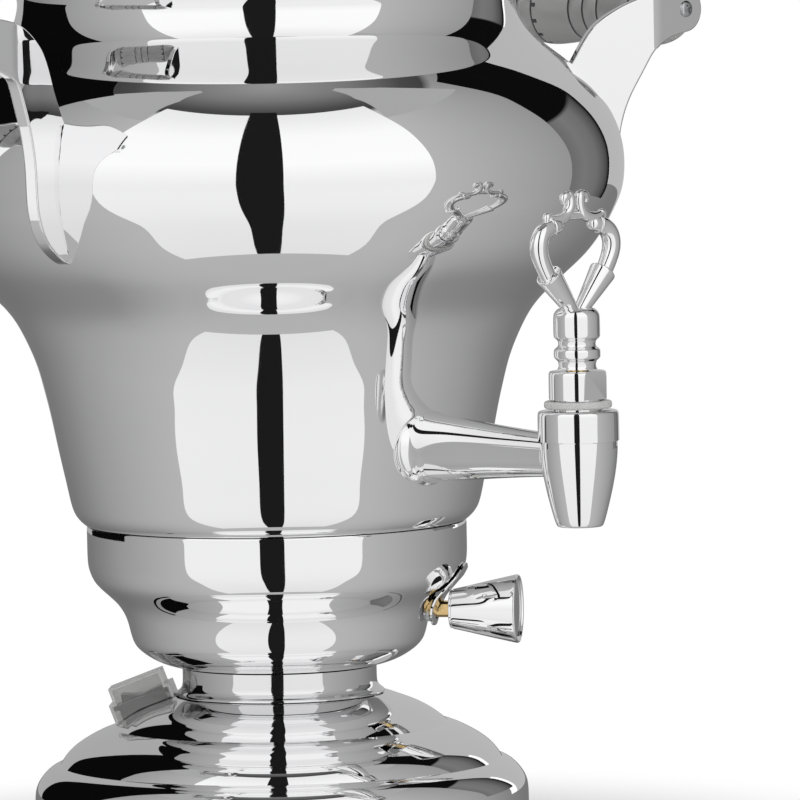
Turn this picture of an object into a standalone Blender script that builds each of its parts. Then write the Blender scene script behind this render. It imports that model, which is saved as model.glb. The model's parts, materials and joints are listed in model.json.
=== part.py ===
"""An electric samovar in polished metal, modelled as the pieces it is assembled from.

Metres, +Z up. The origin is the middle of the face it stands on, the tap points along -Y
and the two side handles along +X and -X.
"""

import math

import bmesh
import bpy
from mathutils import Matrix, Vector

# Clearances
GAP = 0.0003
OVERRUN = 0.002

# Base
BASE_RADIUS = 0.0893
BASE_HEIGHT = 0.0567
BASE_WALL = 0.001
BASE_LIFT = 0.0004
MAT_THICKNESS = 0.002
PLATE_THICKNESS = 0.0025

# Column between base and bowl, and the rod that pulls them together
COLUMN_RADIUS = 0.0351
COLUMN_HEIGHT = 0.0098
COLUMN_WALL = 0.0012
COLUMN_FOOT_RADIUS = 0.0379
TIE_ROD_RADIUS = 0.003
TIE_ROD_HEAD_RADIUS = 0.0062
TIE_ROD_END = 0.006
TIE_NUT_RADIUS = 0.0062
TIE_NUT_HEIGHT = 0.005

# Bowl that houses the controls
BOWL_RADIUS = 0.0686
BOWL_HEIGHT = 0.0519
BOWL_WALL = 0.001
SPIGOT_HEIGHT = 0.006
SPIGOT_STEP = 0.0021

# Body that holds the water
BODY_RADIUS = 0.1278
BODY_HEIGHT = 0.2098
BODY_WALL = 0.0009
TANK_BOTTOM_RISE = 0.0125
TANK_BOTTOM_WALL = 0.0012
TANK_BOTTOM_FLANGE = 0.005

# Heating element
ELEMENT_RING_RADIUS = 0.044
ELEMENT_TUBE_RADIUS = 0.0035
ELEMENT_RISE = 0.016
ELEMENT_TAIL = 0.014
ELEMENT_NUT_RADIUS = 0.0075
ELEMENT_NUT_HEIGHT = 0.004
ELEMENT_GAP_ANGLE = math.radians(40)

# Lid, its knobs and the ring that carries a teapot
LID_OVERHANG = 0.001
LID_SKIRT_CLEARANCE = 0.0028
LID_RISE = 0.024
LID_WALL = 0.0009
LID_SKIRT_DEPTH = 0.016
LID_SKIRT_WALL = 0.0008
LID_KNOB_PLACE = 0.066
LID_KNOB_RADIUS = 0.0085
LID_KNOB_HEIGHT = 0.021
LID_SCREW_RADIUS = 0.0016
LID_SCREW_HEAD_RADIUS = 0.0036
LID_SCREW_HEAD_HEIGHT = 0.0016
LID_SCREW_LENGTH = 0.009
VENT_RADIUS = 0.0022
VENT_PLACE = 0.018
GALLERY_RADIUS = 0.043
GALLERY_HEIGHT = 0.024
GALLERY_WALL = 0.0016
GALLERY_SLOT_WIDTH = 0.013
GALLERY_SLOT_HEIGHT = 0.0085

# Tap, low above the tank's bottom
TAP_RISE = 0.0175
TAP_LENGTH = 0.0764
TAP_FLANGE_RADIUS = 0.0139
TAP_PIPE_RADIUS = 0.0076
TAP_BORE_RADIUS = 0.004
TAP_TAIL_RADIUS = 0.0075
TAP_TAIL_LENGTH = 0.014
TAP_NUT_RADIUS = 0.0125
TAP_NUT_HEIGHT = 0.005
TAP_SEAL_THICKNESS = 0.0015
TAP_SEAL_RADIUS = 0.0115
SPOUT_RADIUS = 0.0142
SPOUT_HEIGHT = 0.041
SPOUT_RISE = 0.0165
SPOUT_OUTLET_RADIUS = 0.0045
PLUG_RADIUS = 0.0082
PLUG_TIP_RADIUS = 0.0068
PLUG_TOP_DEPTH = 0.0055
PLUG_LENGTH = 0.0215
PLUG_PORT_RADIUS = 0.0033
PLUG_STEM_RADIUS = 0.0038
PLUG_STEM_GRIP = 0.012
WASHER_RADIUS = 0.0119
WASHER_THICKNESS = 0.003
BONNET_RADIUS = 0.0101
BONNET_FLATS = 0.0086
BONNET_HEIGHT = 0.0101
KEY_STEM_RADIUS = 0.0081
KEY_STEM_HEIGHT = 0.0214
KEY_WIDTH = 0.0412
KEY_HEIGHT = 0.0407
KEY_TUBE_RADIUS = 0.003
KEY_CONE_RADIUS = 0.0047
KEY_CONE_TIP_RADIUS = 0.0022

# Thermostat and its knob
CONTROL_ANGLE = math.radians(37)
CONTROL_HEIGHT = 0.087
CONTROL_SHAFT_RADIUS = 0.003
CONTROL_SHAFT_DEPTH = 0.012
THERMOSTAT_RADIUS = 0.014
THERMOSTAT_LENGTH = 0.02
THERMOSTAT_SETBACK = 0.0135
THERMOSTAT_NECK_RADIUS = 0.0045
KNOB_TIP_RADIUS = 0.007
KNOB_RADIUS = 0.0123
KNOB_LENGTH = 0.0262
KNOB_STANDOFF = 0.0087
KNOB_BORE_DEPTH = 0.016
KNOB_DISH = 0.001
ESCUTCHEON_RADIUS = 0.0125
ESCUTCHEON_THICKNESS = 0.0011
ESCUTCHEON_STANDOFF = 0.002
ESCUTCHEON_RISE = 0.004
ESCUTCHEON_TILT = math.radians(24)

# Switch on the base
SWITCH_ANGLE = math.radians(-137)
SWITCH_PLACE = 0.0488
SWITCH_LENGTH = 0.018
SWITCH_WIDTH = 0.0125
SWITCH_DEPTH = 0.016
SWITCH_BEZEL_MARGIN = 0.0014
SWITCH_BEZEL_HEIGHT = 0.0015
SWITCH_LIFT = 0.0022
SWITCH_POCKET_DEPTH = 0.006
ROCKER_LENGTH = 0.0145
ROCKER_WIDTH = 0.0085
ROCKER_CROWN = 0.0032
ROCKER_PIVOT_DEPTH = 0.001
ROCKER_TILT = math.radians(8)
ROCKER_CLEARANCE = 0.0008
BOOT_WALL = 0.001
BOOT_HEIGHT = 0.0055
BOOT_SKIRT_DEPTH = 0.006

# Cord grommet
GROMMET_RADIUS = 0.0075
GROMMET_BORE_RADIUS = 0.0035
GROMMET_HEIGHT = 0.0135
GROMMET_FLANGE = 0.0018
GROMMET_LIP = 0.002

# Side handles
HANDLE_STANDOFF = 0.0448
HANDLE_BELOW_RIM = 0.0306
HANDLE_EAR_RADIUS = 0.0086
HANDLE_ARM_THICKNESS = 0.0045
HANDLE_ROOT_DEPTH = 0.0092
HANDLE_EAR_STRAIGHT = 0.0145
HANDLE_ROOT_OFFSET = 0.02
HANDLE_EAR_OFFSET = 0.0402
HANDLE_DROP = 0.081
GRIP_RADIUS = 0.0138
GRIP_ROD_RADIUS = 0.0028
HANDLE_SCREW_RADIUS = 0.0016
HANDLE_SCREW_HEAD_RADIUS = 0.0031
HANDLE_SCREW_HEAD_HEIGHT = 0.0013
HANDLE_SCREW_LENGTH = 0.0088

# Outlines, from the top of the outer side down, as shares of a piece's radius and height
BASE_OUTLINE_SHARES = [
    (0.336, 1.0), (0.4255, 1.0), (0.4434, 0.9965), (0.5722, 0.9206), (0.6372, 0.8571),
    (0.6775, 0.8025), (0.7256, 0.7813), (0.7906, 0.7302), (0.8511, 0.6667), (0.8824, 0.6032),
    (0.8947, 0.5714), (0.9317, 0.552), (0.974, 0.493), (1.0, 0.381),
]
BOWL_OUTLINE_SHARES = [
    (1.0, 1.0), (1.0, 0.75), (0.9765, 0.6348), (0.9082, 0.5315), (0.8499, 0.4627),
    (0.81, 0.385), (0.787, 0.26), (0.7682, 0.1874), (0.7405, 0.132), (0.6501, 0.0497),
    (0.5117, 0.0038), (0.44, 0.0),
]
BODY_OUTLINE_SHARES = [
    (0.8216, 1.0), (0.8341, 0.9933), (0.8294, 0.9828), (0.7942, 0.9619), (0.7144, 0.9247),
    (0.7011, 0.9023), (0.712, 0.866), (0.7629, 0.8222), (0.8685, 0.7707), (0.9327, 0.7276),
    (0.9606, 0.7), (0.9914, 0.6587), (1.0, 0.6072), (0.9914, 0.5643), (0.9523, 0.5095),
    (0.8959, 0.4614), (0.7973, 0.408), (0.7551, 0.3789), (0.687, 0.3103), (0.6252, 0.173),
    (0.579, 0.0357), (0.5524, 0.0057),
]
COLUMN_FLARE_SHARES = [(0.0, 0.43), (0.18, 0.25), (0.64, 0.14), (1.0, 0.07), (1.0, 0.0)]
LID_OUTLINE_SHARES = [
    (0.0, 1.0), (0.43, 1.0), (0.5, 0.97), (0.6, 0.86), (0.7, 0.67),
    (0.78, 0.45), (0.83, 0.24), (0.87, 0.09), (0.92, 0.04), (1.0, 0.04),
]
SPOUT_OUTLINE_SHARES = [
    (0.93, 1.0), (1.0, 0.975), (1.0, 0.75), (0.955, 0.73), (0.93, 0.6),
    (0.85, 0.4), (0.72, 0.2), (0.56, 0.03), (0.5, 0.0),
]
KEY_STEM_OUTLINE_SHARES = [
    (0.8, 1.0), (1.0, 0.94), (1.0, 0.535), (0.81, 0.495), (0.81, 0.41),
    (1.0, 0.37), (1.0, 0.2), (0.74, 0.15), (0.74, 0.0),
]
GALLERY_OUTLINE_SHARES = [
    (1.0, 1.0), (1.04, 0.95), (1.0, 0.88), (0.93, 0.8), (0.9, 0.5), (0.93, 0.2), (1.0, 0.0),
]
GRIP_OUTLINE_SHARES = [
    (0.64, 0.5), (0.8, 0.47), (0.95, 0.41), (1.0, 0.32), (0.96, 0.2), (0.9, 0.108),
    (0.86, 0.098), (0.89, 0.088), (0.885, 0.01), (0.85, 0.0),
]
KNOB_BALL_OUTLINE_SHARES = [
    (0.0, 1.0), (0.45, 0.96), (0.85, 0.82), (1.0, 0.64), (0.88, 0.46), (0.55, 0.32),
    (0.42, 0.24), (0.5, 0.14), (0.8, 0.06), (0.82, 0.0),
]
# The tap pipe, as shares of what the flange adds to the pipe and of the way to the spout
TAP_FLARE_SHARES = [
    (0.0, 1.0), (0.02, 0.82), (0.15, 0.66), (0.3, 0.46), (0.445, 0.263), (0.535, 0.151),
    (0.635, 0.1), (0.8, 0.053), (0.97, 0.02), (1.0, 0.0),
]
# One side of the key, as shares of half its width and its height
KEY_CONE_SHARES = [(0.08, -0.03), (0.7, 0.285)]
KEY_RING_SHARES = [(0.62, 0.24), (0.8, 0.37), (0.89, 0.5), (0.84, 0.62), (0.66, 0.69), (0.42, 0.71)]
KEY_FLEUR_SHARES = [(0.62, 0.78), (0.42, 0.77), (0.2, 0.8), (0.1, 0.87), (0.09, 0.93), (0.14, 0.96)]
KEY_FLEUR_THICKNESS_SHARE = 0.7
GALLERY_ARCH_SHARE = 0.8
SCREW_CROWN_SHARE = 0.75
# An arm from the side, as shares of its reach beyond the root and of its drop below the grip
ARM_UPPER_SHARES = [
    (0.0, 0.4), (0.1, 0.32), (0.184, 0.234), (0.257, 0.139), (0.316, 0.075), (0.376, 0.034),
    (0.487, -0.015), (0.6, -0.052), (0.74, -0.085), (0.874, -0.102),
]
ARM_LOWER_SHARES = [
    (0.885, 0.118), (0.79, 0.145), (0.733, 0.17), (0.694, 0.212), (0.648, 0.275), (0.59, 0.347),
    (0.542, 0.418), (0.507, 0.498), (0.49, 0.6), (0.48, 0.72), (0.4, 0.84), (0.29, 0.905),
    (0.15, 0.955), (0.0, 0.988),
]
ARM_EAR_START = math.radians(95)
ARM_EAR_END = math.radians(-80)
ARM_EAR_POINTS = 7
ARM_ROOT_SHARE = 0.72
# The middle line of an arm from above, as shares of the way from its root to its straight ear
ARM_PLAN_SHARES = [(-0.116, -0.12), (0.0, 0.0), (0.43, 0.44), (0.814, 0.83), (0.93, 0.95), (1.0, 1.0)]

# Counts and smoothness
LARGE_STEPS = 32
MEDIUM_STEPS = 20
SMALL_STEPS = 14
TUBE_SIDES = 1
KEY_STEPS = 2
ARCH_POINTS = 6
ESCUTCHEON_POINTS = 8
GALLERY_SLOTS = 8
VENTS = 4
ELEMENT_POINTS = 16
HEX = 6
SMOOTH_ANGLE = math.radians(35)
MERGE = 0.00001
FULL_TURN = 2 * math.pi

# Heights where one piece stands on the next
COLUMN_FOOT = BASE_HEIGHT + GAP
COLUMN_TOP = COLUMN_FOOT + COLUMN_HEIGHT
BOWL_FLOOR = COLUMN_TOP + GAP
BOWL_TOP = BOWL_FLOOR + BOWL_HEIGHT
BODY_FOOT = BOWL_TOP + GAP
BODY_TOP = BODY_FOOT + BODY_HEIGHT
LID_SEAT = BODY_TOP + GAP
LID_TOP = LID_SEAT + LID_RISE
LID_RADIUS = BODY_RADIUS * BODY_OUTLINE_SHARES[0][0] + LID_OVERHANG
TAP_HEIGHT = BODY_FOOT + TANK_BOTTOM_RISE + TAP_RISE
SPOUT_TOP = TAP_HEIGHT + SPOUT_RISE
HANDLE_HEIGHT = BODY_TOP - HANDLE_BELOW_RIM
HANDLE_REACH = BODY_RADIUS + HANDLE_STANDOFF

for old in list(bpy.data.objects):
    bpy.data.objects.remove(old, do_unlink=True)
samovar = bpy.data.collections.new("samovar")
cutters = bpy.data.collections.new("cutters")
bpy.context.scene.collection.children.link(samovar)
bpy.context.scene.collection.children.link(cutters)


# Materials
def finish(name, colour, metallic, roughness, transmission=0.0):
    material = bpy.data.materials.new(name)
    material.use_nodes = True
    shader = material.node_tree.nodes["Principled BSDF"]
    shader.inputs["Base Color"].default_value = (*colour, 1.0)
    shader.inputs["Metallic"].default_value = metallic
    shader.inputs["Roughness"].default_value = roughness
    shader.inputs["Transmission Weight"].default_value = transmission
    return material


CHROME = ("chrome", (0.78, 0.79, 0.8), 1.0, 0.04)
STEEL = ("steel", (0.55, 0.56, 0.57), 1.0, 0.3)
BRASS = ("brass", (0.72, 0.52, 0.25), 1.0, 0.25)
PORCELAIN = ("porcelain", (0.72, 0.72, 0.71), 0.0, 0.15)
RUBBER = ("rubber", (0.03, 0.03, 0.03), 0.0, 0.7)
BLACK_PLASTIC = ("black_plastic", (0.02, 0.02, 0.02), 0.0, 0.35)
WHITE_PLASTIC = ("white_plastic", (0.85, 0.85, 0.83), 0.0, 0.4)
CLEAR_PLASTIC = ("clear_plastic", (0.9, 0.9, 0.9), 0.0, 0.15, 0.9)


# Objects from meshes, curves and turned outlines
def add(name, mesh, look):
    obj = bpy.data.objects.new(name, mesh)
    if look is None:
        obj.display_type = "WIRE"
        obj.hide_render = True
        cutters.objects.link(obj)
    else:
        mesh.materials.append(finish(f"{name}_{look[0]}", *look[1:]))
        samovar.objects.link(obj)
    return obj


def mesh_from(name, build):
    mesh = bpy.data.meshes.new(name)
    shape = bmesh.new()
    build(shape)
    shape.to_mesh(mesh)
    shape.free()
    return mesh


def smooth(obj):
    obj.data.shade_smooth()
    obj.data.set_sharp_from_angle(angle=SMOOTH_ANGLE)
    return obj


def turned(name, outline, look, steps=MEDIUM_STEPS, closed=True):
    """Turn an outline of (radius, height) points about Z, closed to a ring or open at the axis."""

    def build(shape):
        points = [shape.verts.new((radius, 0, height)) for radius, height in outline]
        for first, second in zip(points, points[1:]):
            shape.edges.new((first, second))
        if closed:
            shape.edges.new((points[-1], points[0]))

    obj = add(name, mesh_from(name, build), look)
    screw = obj.modifiers.new("turn", "SCREW")
    screw.steps = steps
    screw.render_steps = steps
    screw.use_merge_vertices = True
    screw.merge_threshold = MERGE
    screw.use_smooth_shade = True
    return obj


def cylinder(name, radius, depth, look, steps=SMALL_STEPS, tip_radius=None):
    """A cylinder or cone that stands on its origin and rises along its own Z."""
    tip = radius if tip_radius is None else tip_radius

    def build(shape):
        bmesh.ops.create_cone(
            shape, cap_ends=True, segments=steps, radius1=radius, radius2=tip, depth=depth,
            matrix=Matrix.Translation((0, 0, depth / 2)),
        )

    return smooth(add(name, mesh_from(name, build), look))


def block(name, size, look):
    """A box around its origin in X and Y that rises from it along Z."""

    def build(shape):
        place = Matrix.Translation((0, 0, size[2] / 2)) @ Matrix.Diagonal((*size, 1.0))
        bmesh.ops.create_cube(shape, size=1.0, matrix=place)

    return add(name, mesh_from(name, build), look)


def tube(name, points, radius, look, sides=1, closed=False):
    """A round bar along a smooth line of points, welded to one closed mesh."""
    line = bpy.data.curves.new(name, "CURVE")
    line.dimensions = "3D"
    line.bevel_depth = radius
    line.bevel_resolution = sides
    line.use_fill_caps = True
    spline = line.splines.new("POLY")
    spline.use_cyclic_u = closed
    spline.points.add(len(points) - 1)
    for target, point in zip(spline.points, points):
        target.co = (*point, 1.0)
    guide = bpy.data.objects.new(f"{name}_line", line)
    cutters.objects.link(guide)
    bpy.context.view_layer.update()
    mesh = bpy.data.meshes.new_from_object(guide.evaluated_get(bpy.context.evaluated_depsgraph_get()))
    bpy.data.objects.remove(guide, do_unlink=True)
    shape = bmesh.new()
    shape.from_mesh(mesh)
    bmesh.ops.remove_doubles(shape, verts=shape.verts, dist=MERGE)
    bmesh.ops.recalc_face_normals(shape, faces=shape.faces)
    shape.to_mesh(mesh)
    shape.free()
    mesh.name = name
    return smooth(add(name, mesh, look))


def prism(name, outline, start, depth, frame, look=None):
    """Extrude a closed outline along a frame's third axis, from start for depth."""

    def build(shape):
        points = [shape.verts.new(frame @ Vector((u, v, start))) for u, v in outline]
        face = shape.faces.new(points)
        sweep = bmesh.ops.extrude_face_region(shape, geom=[face])
        moved = [item for item in sweep["geom"] if isinstance(item, bmesh.types.BMVert)]
        bmesh.ops.translate(shape, verts=moved, vec=frame.to_3x3() @ Vector((0, 0, depth)))
        bmesh.ops.recalc_face_normals(shape, faces=shape.faces)

    return add(name, mesh_from(name, build), look)


def cut(obj, tool, operation="DIFFERENCE"):
    step = obj.modifiers.new(tool.name, "BOOLEAN")
    step.operation = operation
    step.solver = "EXACT"
    step.object = tool
    return obj


def join(obj, tool):
    return cut(obj, tool, "UNION")


def place(obj, matrix):
    obj.matrix_world = matrix
    return obj


# Outline geometry
def scaled(shares, radius, height, foot=0.0):
    return [(radius * across, foot + height * up) for across, up in shares]


def inset(outline, wall):
    """The same outline moved inward by the wall and mitred, for the inner side of a shell."""
    sides = []
    for (from_r, from_z), (to_r, to_z) in zip(outline, outline[1:]):
        run = Vector((to_r - from_r, to_z - from_z)).normalized()
        sides.append(Vector((run.y, -run.x)))
    moved = []
    for index, (radius, height) in enumerate(outline):
        before = sides[max(index - 1, 0)]
        after = sides[min(index, len(sides) - 1)]
        shift = (before + after) * (wall / (1 + before.dot(after)))
        moved.append((max(radius + shift.x, 0.0), height + shift.y))
    return moved


def widened(outline, margin):
    return inset(outline, -margin)


def at_height(outline, height):
    """The radius of an outline at a height."""
    for (upper_r, upper_z), (lower_r, lower_z) in zip(outline, outline[1:]):
        if lower_z <= height <= upper_z and upper_z > lower_z:
            way = (height - lower_z) / (upper_z - lower_z)
            return lower_r + way * (upper_r - lower_r)
    return outline[-1][0]


def at_radius(outline, radius):
    """The height of an outline at a radius, and its fall from level as an angle."""
    for (inner_r, inner_z), (outer_r, outer_z) in zip(outline, outline[1:]):
        if inner_r <= radius <= outer_r and outer_r > inner_r:
            way = (radius - inner_r) / (outer_r - inner_r)
            return inner_z + way * (outer_z - inner_z), math.atan2(inner_z - outer_z, outer_r - inner_r)
    return outline[-1][1], 0.0


def curve_through(points, spans):
    """Points along a smooth line through the given ones, a few on each span."""
    knots = [Vector(point) for point in points]
    ends = [knots[0] * 2 - knots[1], *knots, knots[-1] * 2 - knots[-2]]
    line = []
    for index in range(1, len(ends) - 2):
        p0, p1, p2, p3 = ends[index - 1:index + 3]
        for step in range(spans):
            t = step / spans
            line.append(
                0.5 * (2 * p1 + (p2 - p0) * t + (2 * p0 - 5 * p1 + 4 * p2 - p3) * t * t
                       + (3 * p1 - p0 - 3 * p2 + p3) * t * t * t)
            )
    line.append(knots[-1])
    return line


def outward(angle):
    """A direction level with the table: 0 is towards the tap, a quarter turn is +X."""
    return Vector((math.sin(angle), -math.cos(angle), 0.0))


def aimed(origin, direction, up=Vector((0, 0, 1))):
    """A frame whose Z points along a direction and whose Y leans to up."""
    z_axis = direction.normalized()
    x_axis = up.cross(z_axis).normalized()
    y_axis = z_axis.cross(x_axis)
    frame = Matrix((x_axis, y_axis, z_axis)).transposed().to_4x4()
    return Matrix.Translation(origin) @ frame


# Outlines shared by a piece and by what seats on it
base_outline = scaled(BASE_OUTLINE_SHARES, BASE_RADIUS, BASE_HEIGHT) + [(BASE_RADIUS, BASE_LIFT)]
bowl_outline = (
    [(BOWL_RADIUS - SPIGOT_STEP, BOWL_TOP + SPIGOT_HEIGHT), (BOWL_RADIUS - SPIGOT_STEP, BOWL_TOP)]
    + scaled(BOWL_OUTLINE_SHARES, BOWL_RADIUS, BOWL_HEIGHT, BOWL_FLOOR)
)
body_outline = scaled(BODY_OUTLINE_SHARES, BODY_RADIUS, BODY_HEIGHT, BODY_FOOT) + [
    (BOWL_RADIUS, BODY_FOOT), (BOWL_RADIUS - SPIGOT_STEP + GAP, BODY_FOOT),
]
lid_outline = scaled(LID_OUTLINE_SHARES, LID_RADIUS, LID_RISE, LID_SEAT)
spout_outline = scaled(SPOUT_OUTLINE_SHARES, SPOUT_RADIUS, SPOUT_HEIGHT, SPOUT_TOP - SPOUT_HEIGHT)
LID_SKIRT_RADIUS = at_height(body_outline, BODY_TOP - LID_SKIRT_DEPTH) - BODY_WALL - LID_SKIRT_CLEARANCE
TAP_REACH = at_height(body_outline, TAP_HEIGHT) + TAP_LENGTH
HANDLE_ROOT = at_height(body_outline, HANDLE_HEIGHT - HANDLE_DROP * ARM_ROOT_SHARE) - HANDLE_ROOT_DEPTH


def solid_of(outline):
    """An outline closed to the axis at both ends, for a turned solid."""
    return [(0.0, outline[0][1]), *outline, (0.0, outline[-1][1])]


def shell_of(outline, wall):
    return outline + inset(outline, wall)[::-1]


base_skin = turned("base_skin", solid_of(widened(base_outline, GAP)), None, LARGE_STEPS, False)
body_skin = turned("body_skin", solid_of(widened(body_outline, GAP)), None, LARGE_STEPS, False)
tank_space = turned("tank_space", solid_of(inset(body_outline, BODY_WALL + GAP)), None, LARGE_STEPS, False)


# Base: a stepped dome, its bottom plate and the rubber mat it stands on
def make_base():
    shell = turned("base_shell", shell_of(base_outline, BASE_WALL), CHROME, LARGE_STEPS)
    inner = BASE_RADIUS - BASE_WALL - GAP
    turned(
        "base_mat", [(0, MAT_THICKNESS), (inner, MAT_THICKNESS), (inner, 0), (0, 0)],
        RUBBER, LARGE_STEPS, False,
    )
    foot = MAT_THICKNESS + GAP
    top = foot + PLATE_THICKNESS
    turned(
        "base_plate",
        [(inner, top), (inner, foot), (TIE_ROD_HEAD_RADIUS + GAP, foot), (TIE_ROD_RADIUS + GAP, top)],
        STEEL, LARGE_STEPS,
    )
    tip = BOWL_FLOOR + BOWL_WALL + GAP + TIE_NUT_HEIGHT + TIE_ROD_END
    turned(
        "tie_rod",
        [(0, tip), (TIE_ROD_RADIUS, tip), (TIE_ROD_RADIUS, top), (TIE_ROD_HEAD_RADIUS, foot), (0, foot)],
        STEEL, SMALL_STEPS, False,
    )
    nut("tie_nut", TIE_NUT_RADIUS, TIE_NUT_HEIGHT, TIE_ROD_RADIUS, BOWL_FLOOR + BOWL_WALL + GAP)
    return shell


def nut(name, radius, height, shank, foot, frame=Matrix.Identity(4), look=STEEL):
    """A hexagon nut whose bore clears its shank, standing at foot along a frame's Z."""
    body = cylinder(name, radius, height, look, HEX)
    place(body, frame @ Matrix.Translation((0, 0, foot)))
    bore = cylinder(f"{name}_bore", shank + GAP, height + 2 * OVERRUN, None)
    place(bore, frame @ Matrix.Translation((0, 0, foot - OVERRUN)))
    return cut(body, bore)


def make_column():
    flare = COLUMN_FOOT_RADIUS - COLUMN_RADIUS
    outline = [(COLUMN_RADIUS, COLUMN_TOP)]
    outline += [
        (COLUMN_RADIUS + flare * out, COLUMN_FOOT + COLUMN_HEIGHT * up) for out, up in COLUMN_FLARE_SHARES
    ]
    turned("column", shell_of(outline, COLUMN_WALL), CHROME, MEDIUM_STEPS)


def make_bowl():
    outline = bowl_outline + [(TIE_ROD_RADIUS + GAP, BOWL_FLOOR)]
    return turned("bowl_shell", shell_of(outline, BOWL_WALL), CHROME, LARGE_STEPS)


# Body: the tank wall, its bottom and the heating element that stands on it
def make_body():
    shell = turned("body_shell", shell_of(body_outline, BODY_WALL), CHROME, LARGE_STEPS)
    wall = inset(body_outline, BODY_WALL + GAP)
    top = BODY_FOOT + TANK_BOTTOM_RISE
    edge = top - TANK_BOTTOM_FLANGE
    rim = [(0.0, top), (at_height(wall, top), top), (at_height(wall, edge), edge)]
    bottom = turned("tank_bottom", shell_of(rim, TANK_BOTTOM_WALL), STEEL, LARGE_STEPS, False)
    make_element(bottom, top)
    return shell


def make_element(bottom, top):
    start = math.pi - ELEMENT_GAP_ANGLE / 2
    sweep = FULL_TURN - ELEMENT_GAP_ANGLE
    turns = [start - sweep * step / (ELEMENT_POINTS - 1) for step in range(ELEMENT_POINTS)]
    ring_height = top + ELEMENT_RISE
    legs = [outward(turns[0]) * ELEMENT_RING_RADIUS, outward(turns[-1]) * ELEMENT_RING_RADIUS]
    heights = [top - ELEMENT_TAIL, top, ring_height - 2 * ELEMENT_TUBE_RADIUS]
    rise = [legs[0] + Vector((0, 0, height)) for height in heights]
    fall = [legs[1] + Vector((0, 0, height)) for height in heights[::-1]]
    ring = [outward(turn) * ELEMENT_RING_RADIUS + Vector((0, 0, ring_height)) for turn in turns[1:-1]]
    tube("heating_element", rise + ring + fall, ELEMENT_TUBE_RADIUS, STEEL, TUBE_SIDES)
    for side, leg in zip(("left", "right"), legs):
        hole = cylinder(f"element_hole_{side}", ELEMENT_TUBE_RADIUS + GAP, 2 * ELEMENT_TAIL, None)
        place(hole, Matrix.Translation(leg + Vector((0, 0, top - ELEMENT_TAIL))))
        cut(bottom, hole)
        under = top - TANK_BOTTOM_WALL - GAP - ELEMENT_NUT_HEIGHT
        nut(
            f"element_nut_{side}", ELEMENT_NUT_RADIUS, ELEMENT_NUT_HEIGHT, ELEMENT_TUBE_RADIUS, under,
            Matrix.Translation(leg),
        )


# Lid with two knobs and the pierced ring that carries a teapot
def make_lid():
    shell = turned("lid_shell", shell_of(lid_outline, LID_WALL), CHROME, LARGE_STEPS, False)
    under = inset(lid_outline, LID_WALL + GAP)
    top, _ = at_radius(under, LID_SKIRT_RADIUS)
    foot = top - LID_SKIRT_DEPTH
    skirt = [
        (LID_SKIRT_RADIUS, top), (LID_SKIRT_RADIUS, foot),
        (LID_SKIRT_RADIUS - LID_SKIRT_WALL, foot), (LID_SKIRT_RADIUS - LID_SKIRT_WALL, top),
    ]
    turned("lid_skirt", skirt, STEEL, LARGE_STEPS)
    for index in range(VENTS):
        spot = outward(FULL_TURN * (index + 0.5) / VENTS) * VENT_PLACE
        hole = cylinder(f"vent_{index + 1}", VENT_RADIUS, 2 * LID_RISE, None)
        cut(shell, place(hole, Matrix.Translation(spot + Vector((0, 0, LID_SEAT)))))
    for side, sign in (("left", -1), ("right", 1)):
        make_lid_knob(shell, side, sign)
    return shell


def make_lid_knob(shell, side, sign):
    height, fall = at_radius(lid_outline, LID_KNOB_PLACE)
    out = Vector((sign, 0, 0))
    normal = out * math.sin(fall) + Vector((0, 0, math.cos(fall)))
    frame = aimed(out * LID_KNOB_PLACE + Vector((0, 0, height)), normal, Vector((0, 1, 0)))
    outline = scaled(KNOB_BALL_OUTLINE_SHARES, LID_KNOB_RADIUS, LID_KNOB_HEIGHT)
    lift = GAP + outline[-1][0] ** 2 / (2 * LID_KNOB_PLACE)
    knob = turned(f"lid_knob_{side}", solid_of(outline)[1:], PORCELAIN, SMALL_STEPS, False)
    place(knob, frame @ Matrix.Translation((0, 0, lift)))
    under = -LID_WALL - lift
    head = under - LID_SCREW_HEAD_HEIGHT
    tip = under + LID_SCREW_LENGTH
    place(
        turned(
            f"lid_knob_screw_{side}",
            [
                (0, tip), (LID_SCREW_RADIUS, tip), (LID_SCREW_RADIUS, under), (LID_SCREW_HEAD_RADIUS, under),
                (LID_SCREW_HEAD_RADIUS, head), (0, head),
            ],
            STEEL, SMALL_STEPS, False,
        ),
        frame,
    )
    bore = cylinder(f"lid_knob_bore_{side}", LID_SCREW_RADIUS + GAP, tip - head + GAP, None)
    place(bore, frame @ Matrix.Translation((0, 0, head)))
    cut(knob, bore)
    cut(shell, bore)


def make_gallery():
    foot = LID_TOP + GAP
    outline = scaled(GALLERY_OUTLINE_SHARES, GALLERY_RADIUS, GALLERY_HEIGHT, foot)
    inner = [(radius - GALLERY_WALL, height) for radius, height in outline]
    ring = turned("teapot_gallery", outline + inner[::-1], CHROME, LARGE_STEPS)
    half = GALLERY_SLOT_WIDTH / 2
    sill = GALLERY_HEIGHT / 2 - GALLERY_SLOT_HEIGHT
    arch = [(half, sill), (half, sill + GALLERY_SLOT_HEIGHT)]
    arch += [
        (half * math.cos(turn), sill + GALLERY_SLOT_HEIGHT + half * math.sin(turn) * GALLERY_ARCH_SHARE)
        for turn in (math.pi * step / ARCH_POINTS for step in range(1, ARCH_POINTS))
    ]
    arch += [(-half, sill + GALLERY_SLOT_HEIGHT), (-half, sill)]
    for index in range(GALLERY_SLOTS // 2):
        frame = aimed(Vector((0, 0, foot)), outward(math.pi * (2 * index + 1) / GALLERY_SLOTS))
        reach = 2 * GALLERY_RADIUS
        cut(ring, prism(f"gallery_slot_{index + 1}", arch, -reach, 2 * reach, frame))


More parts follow.
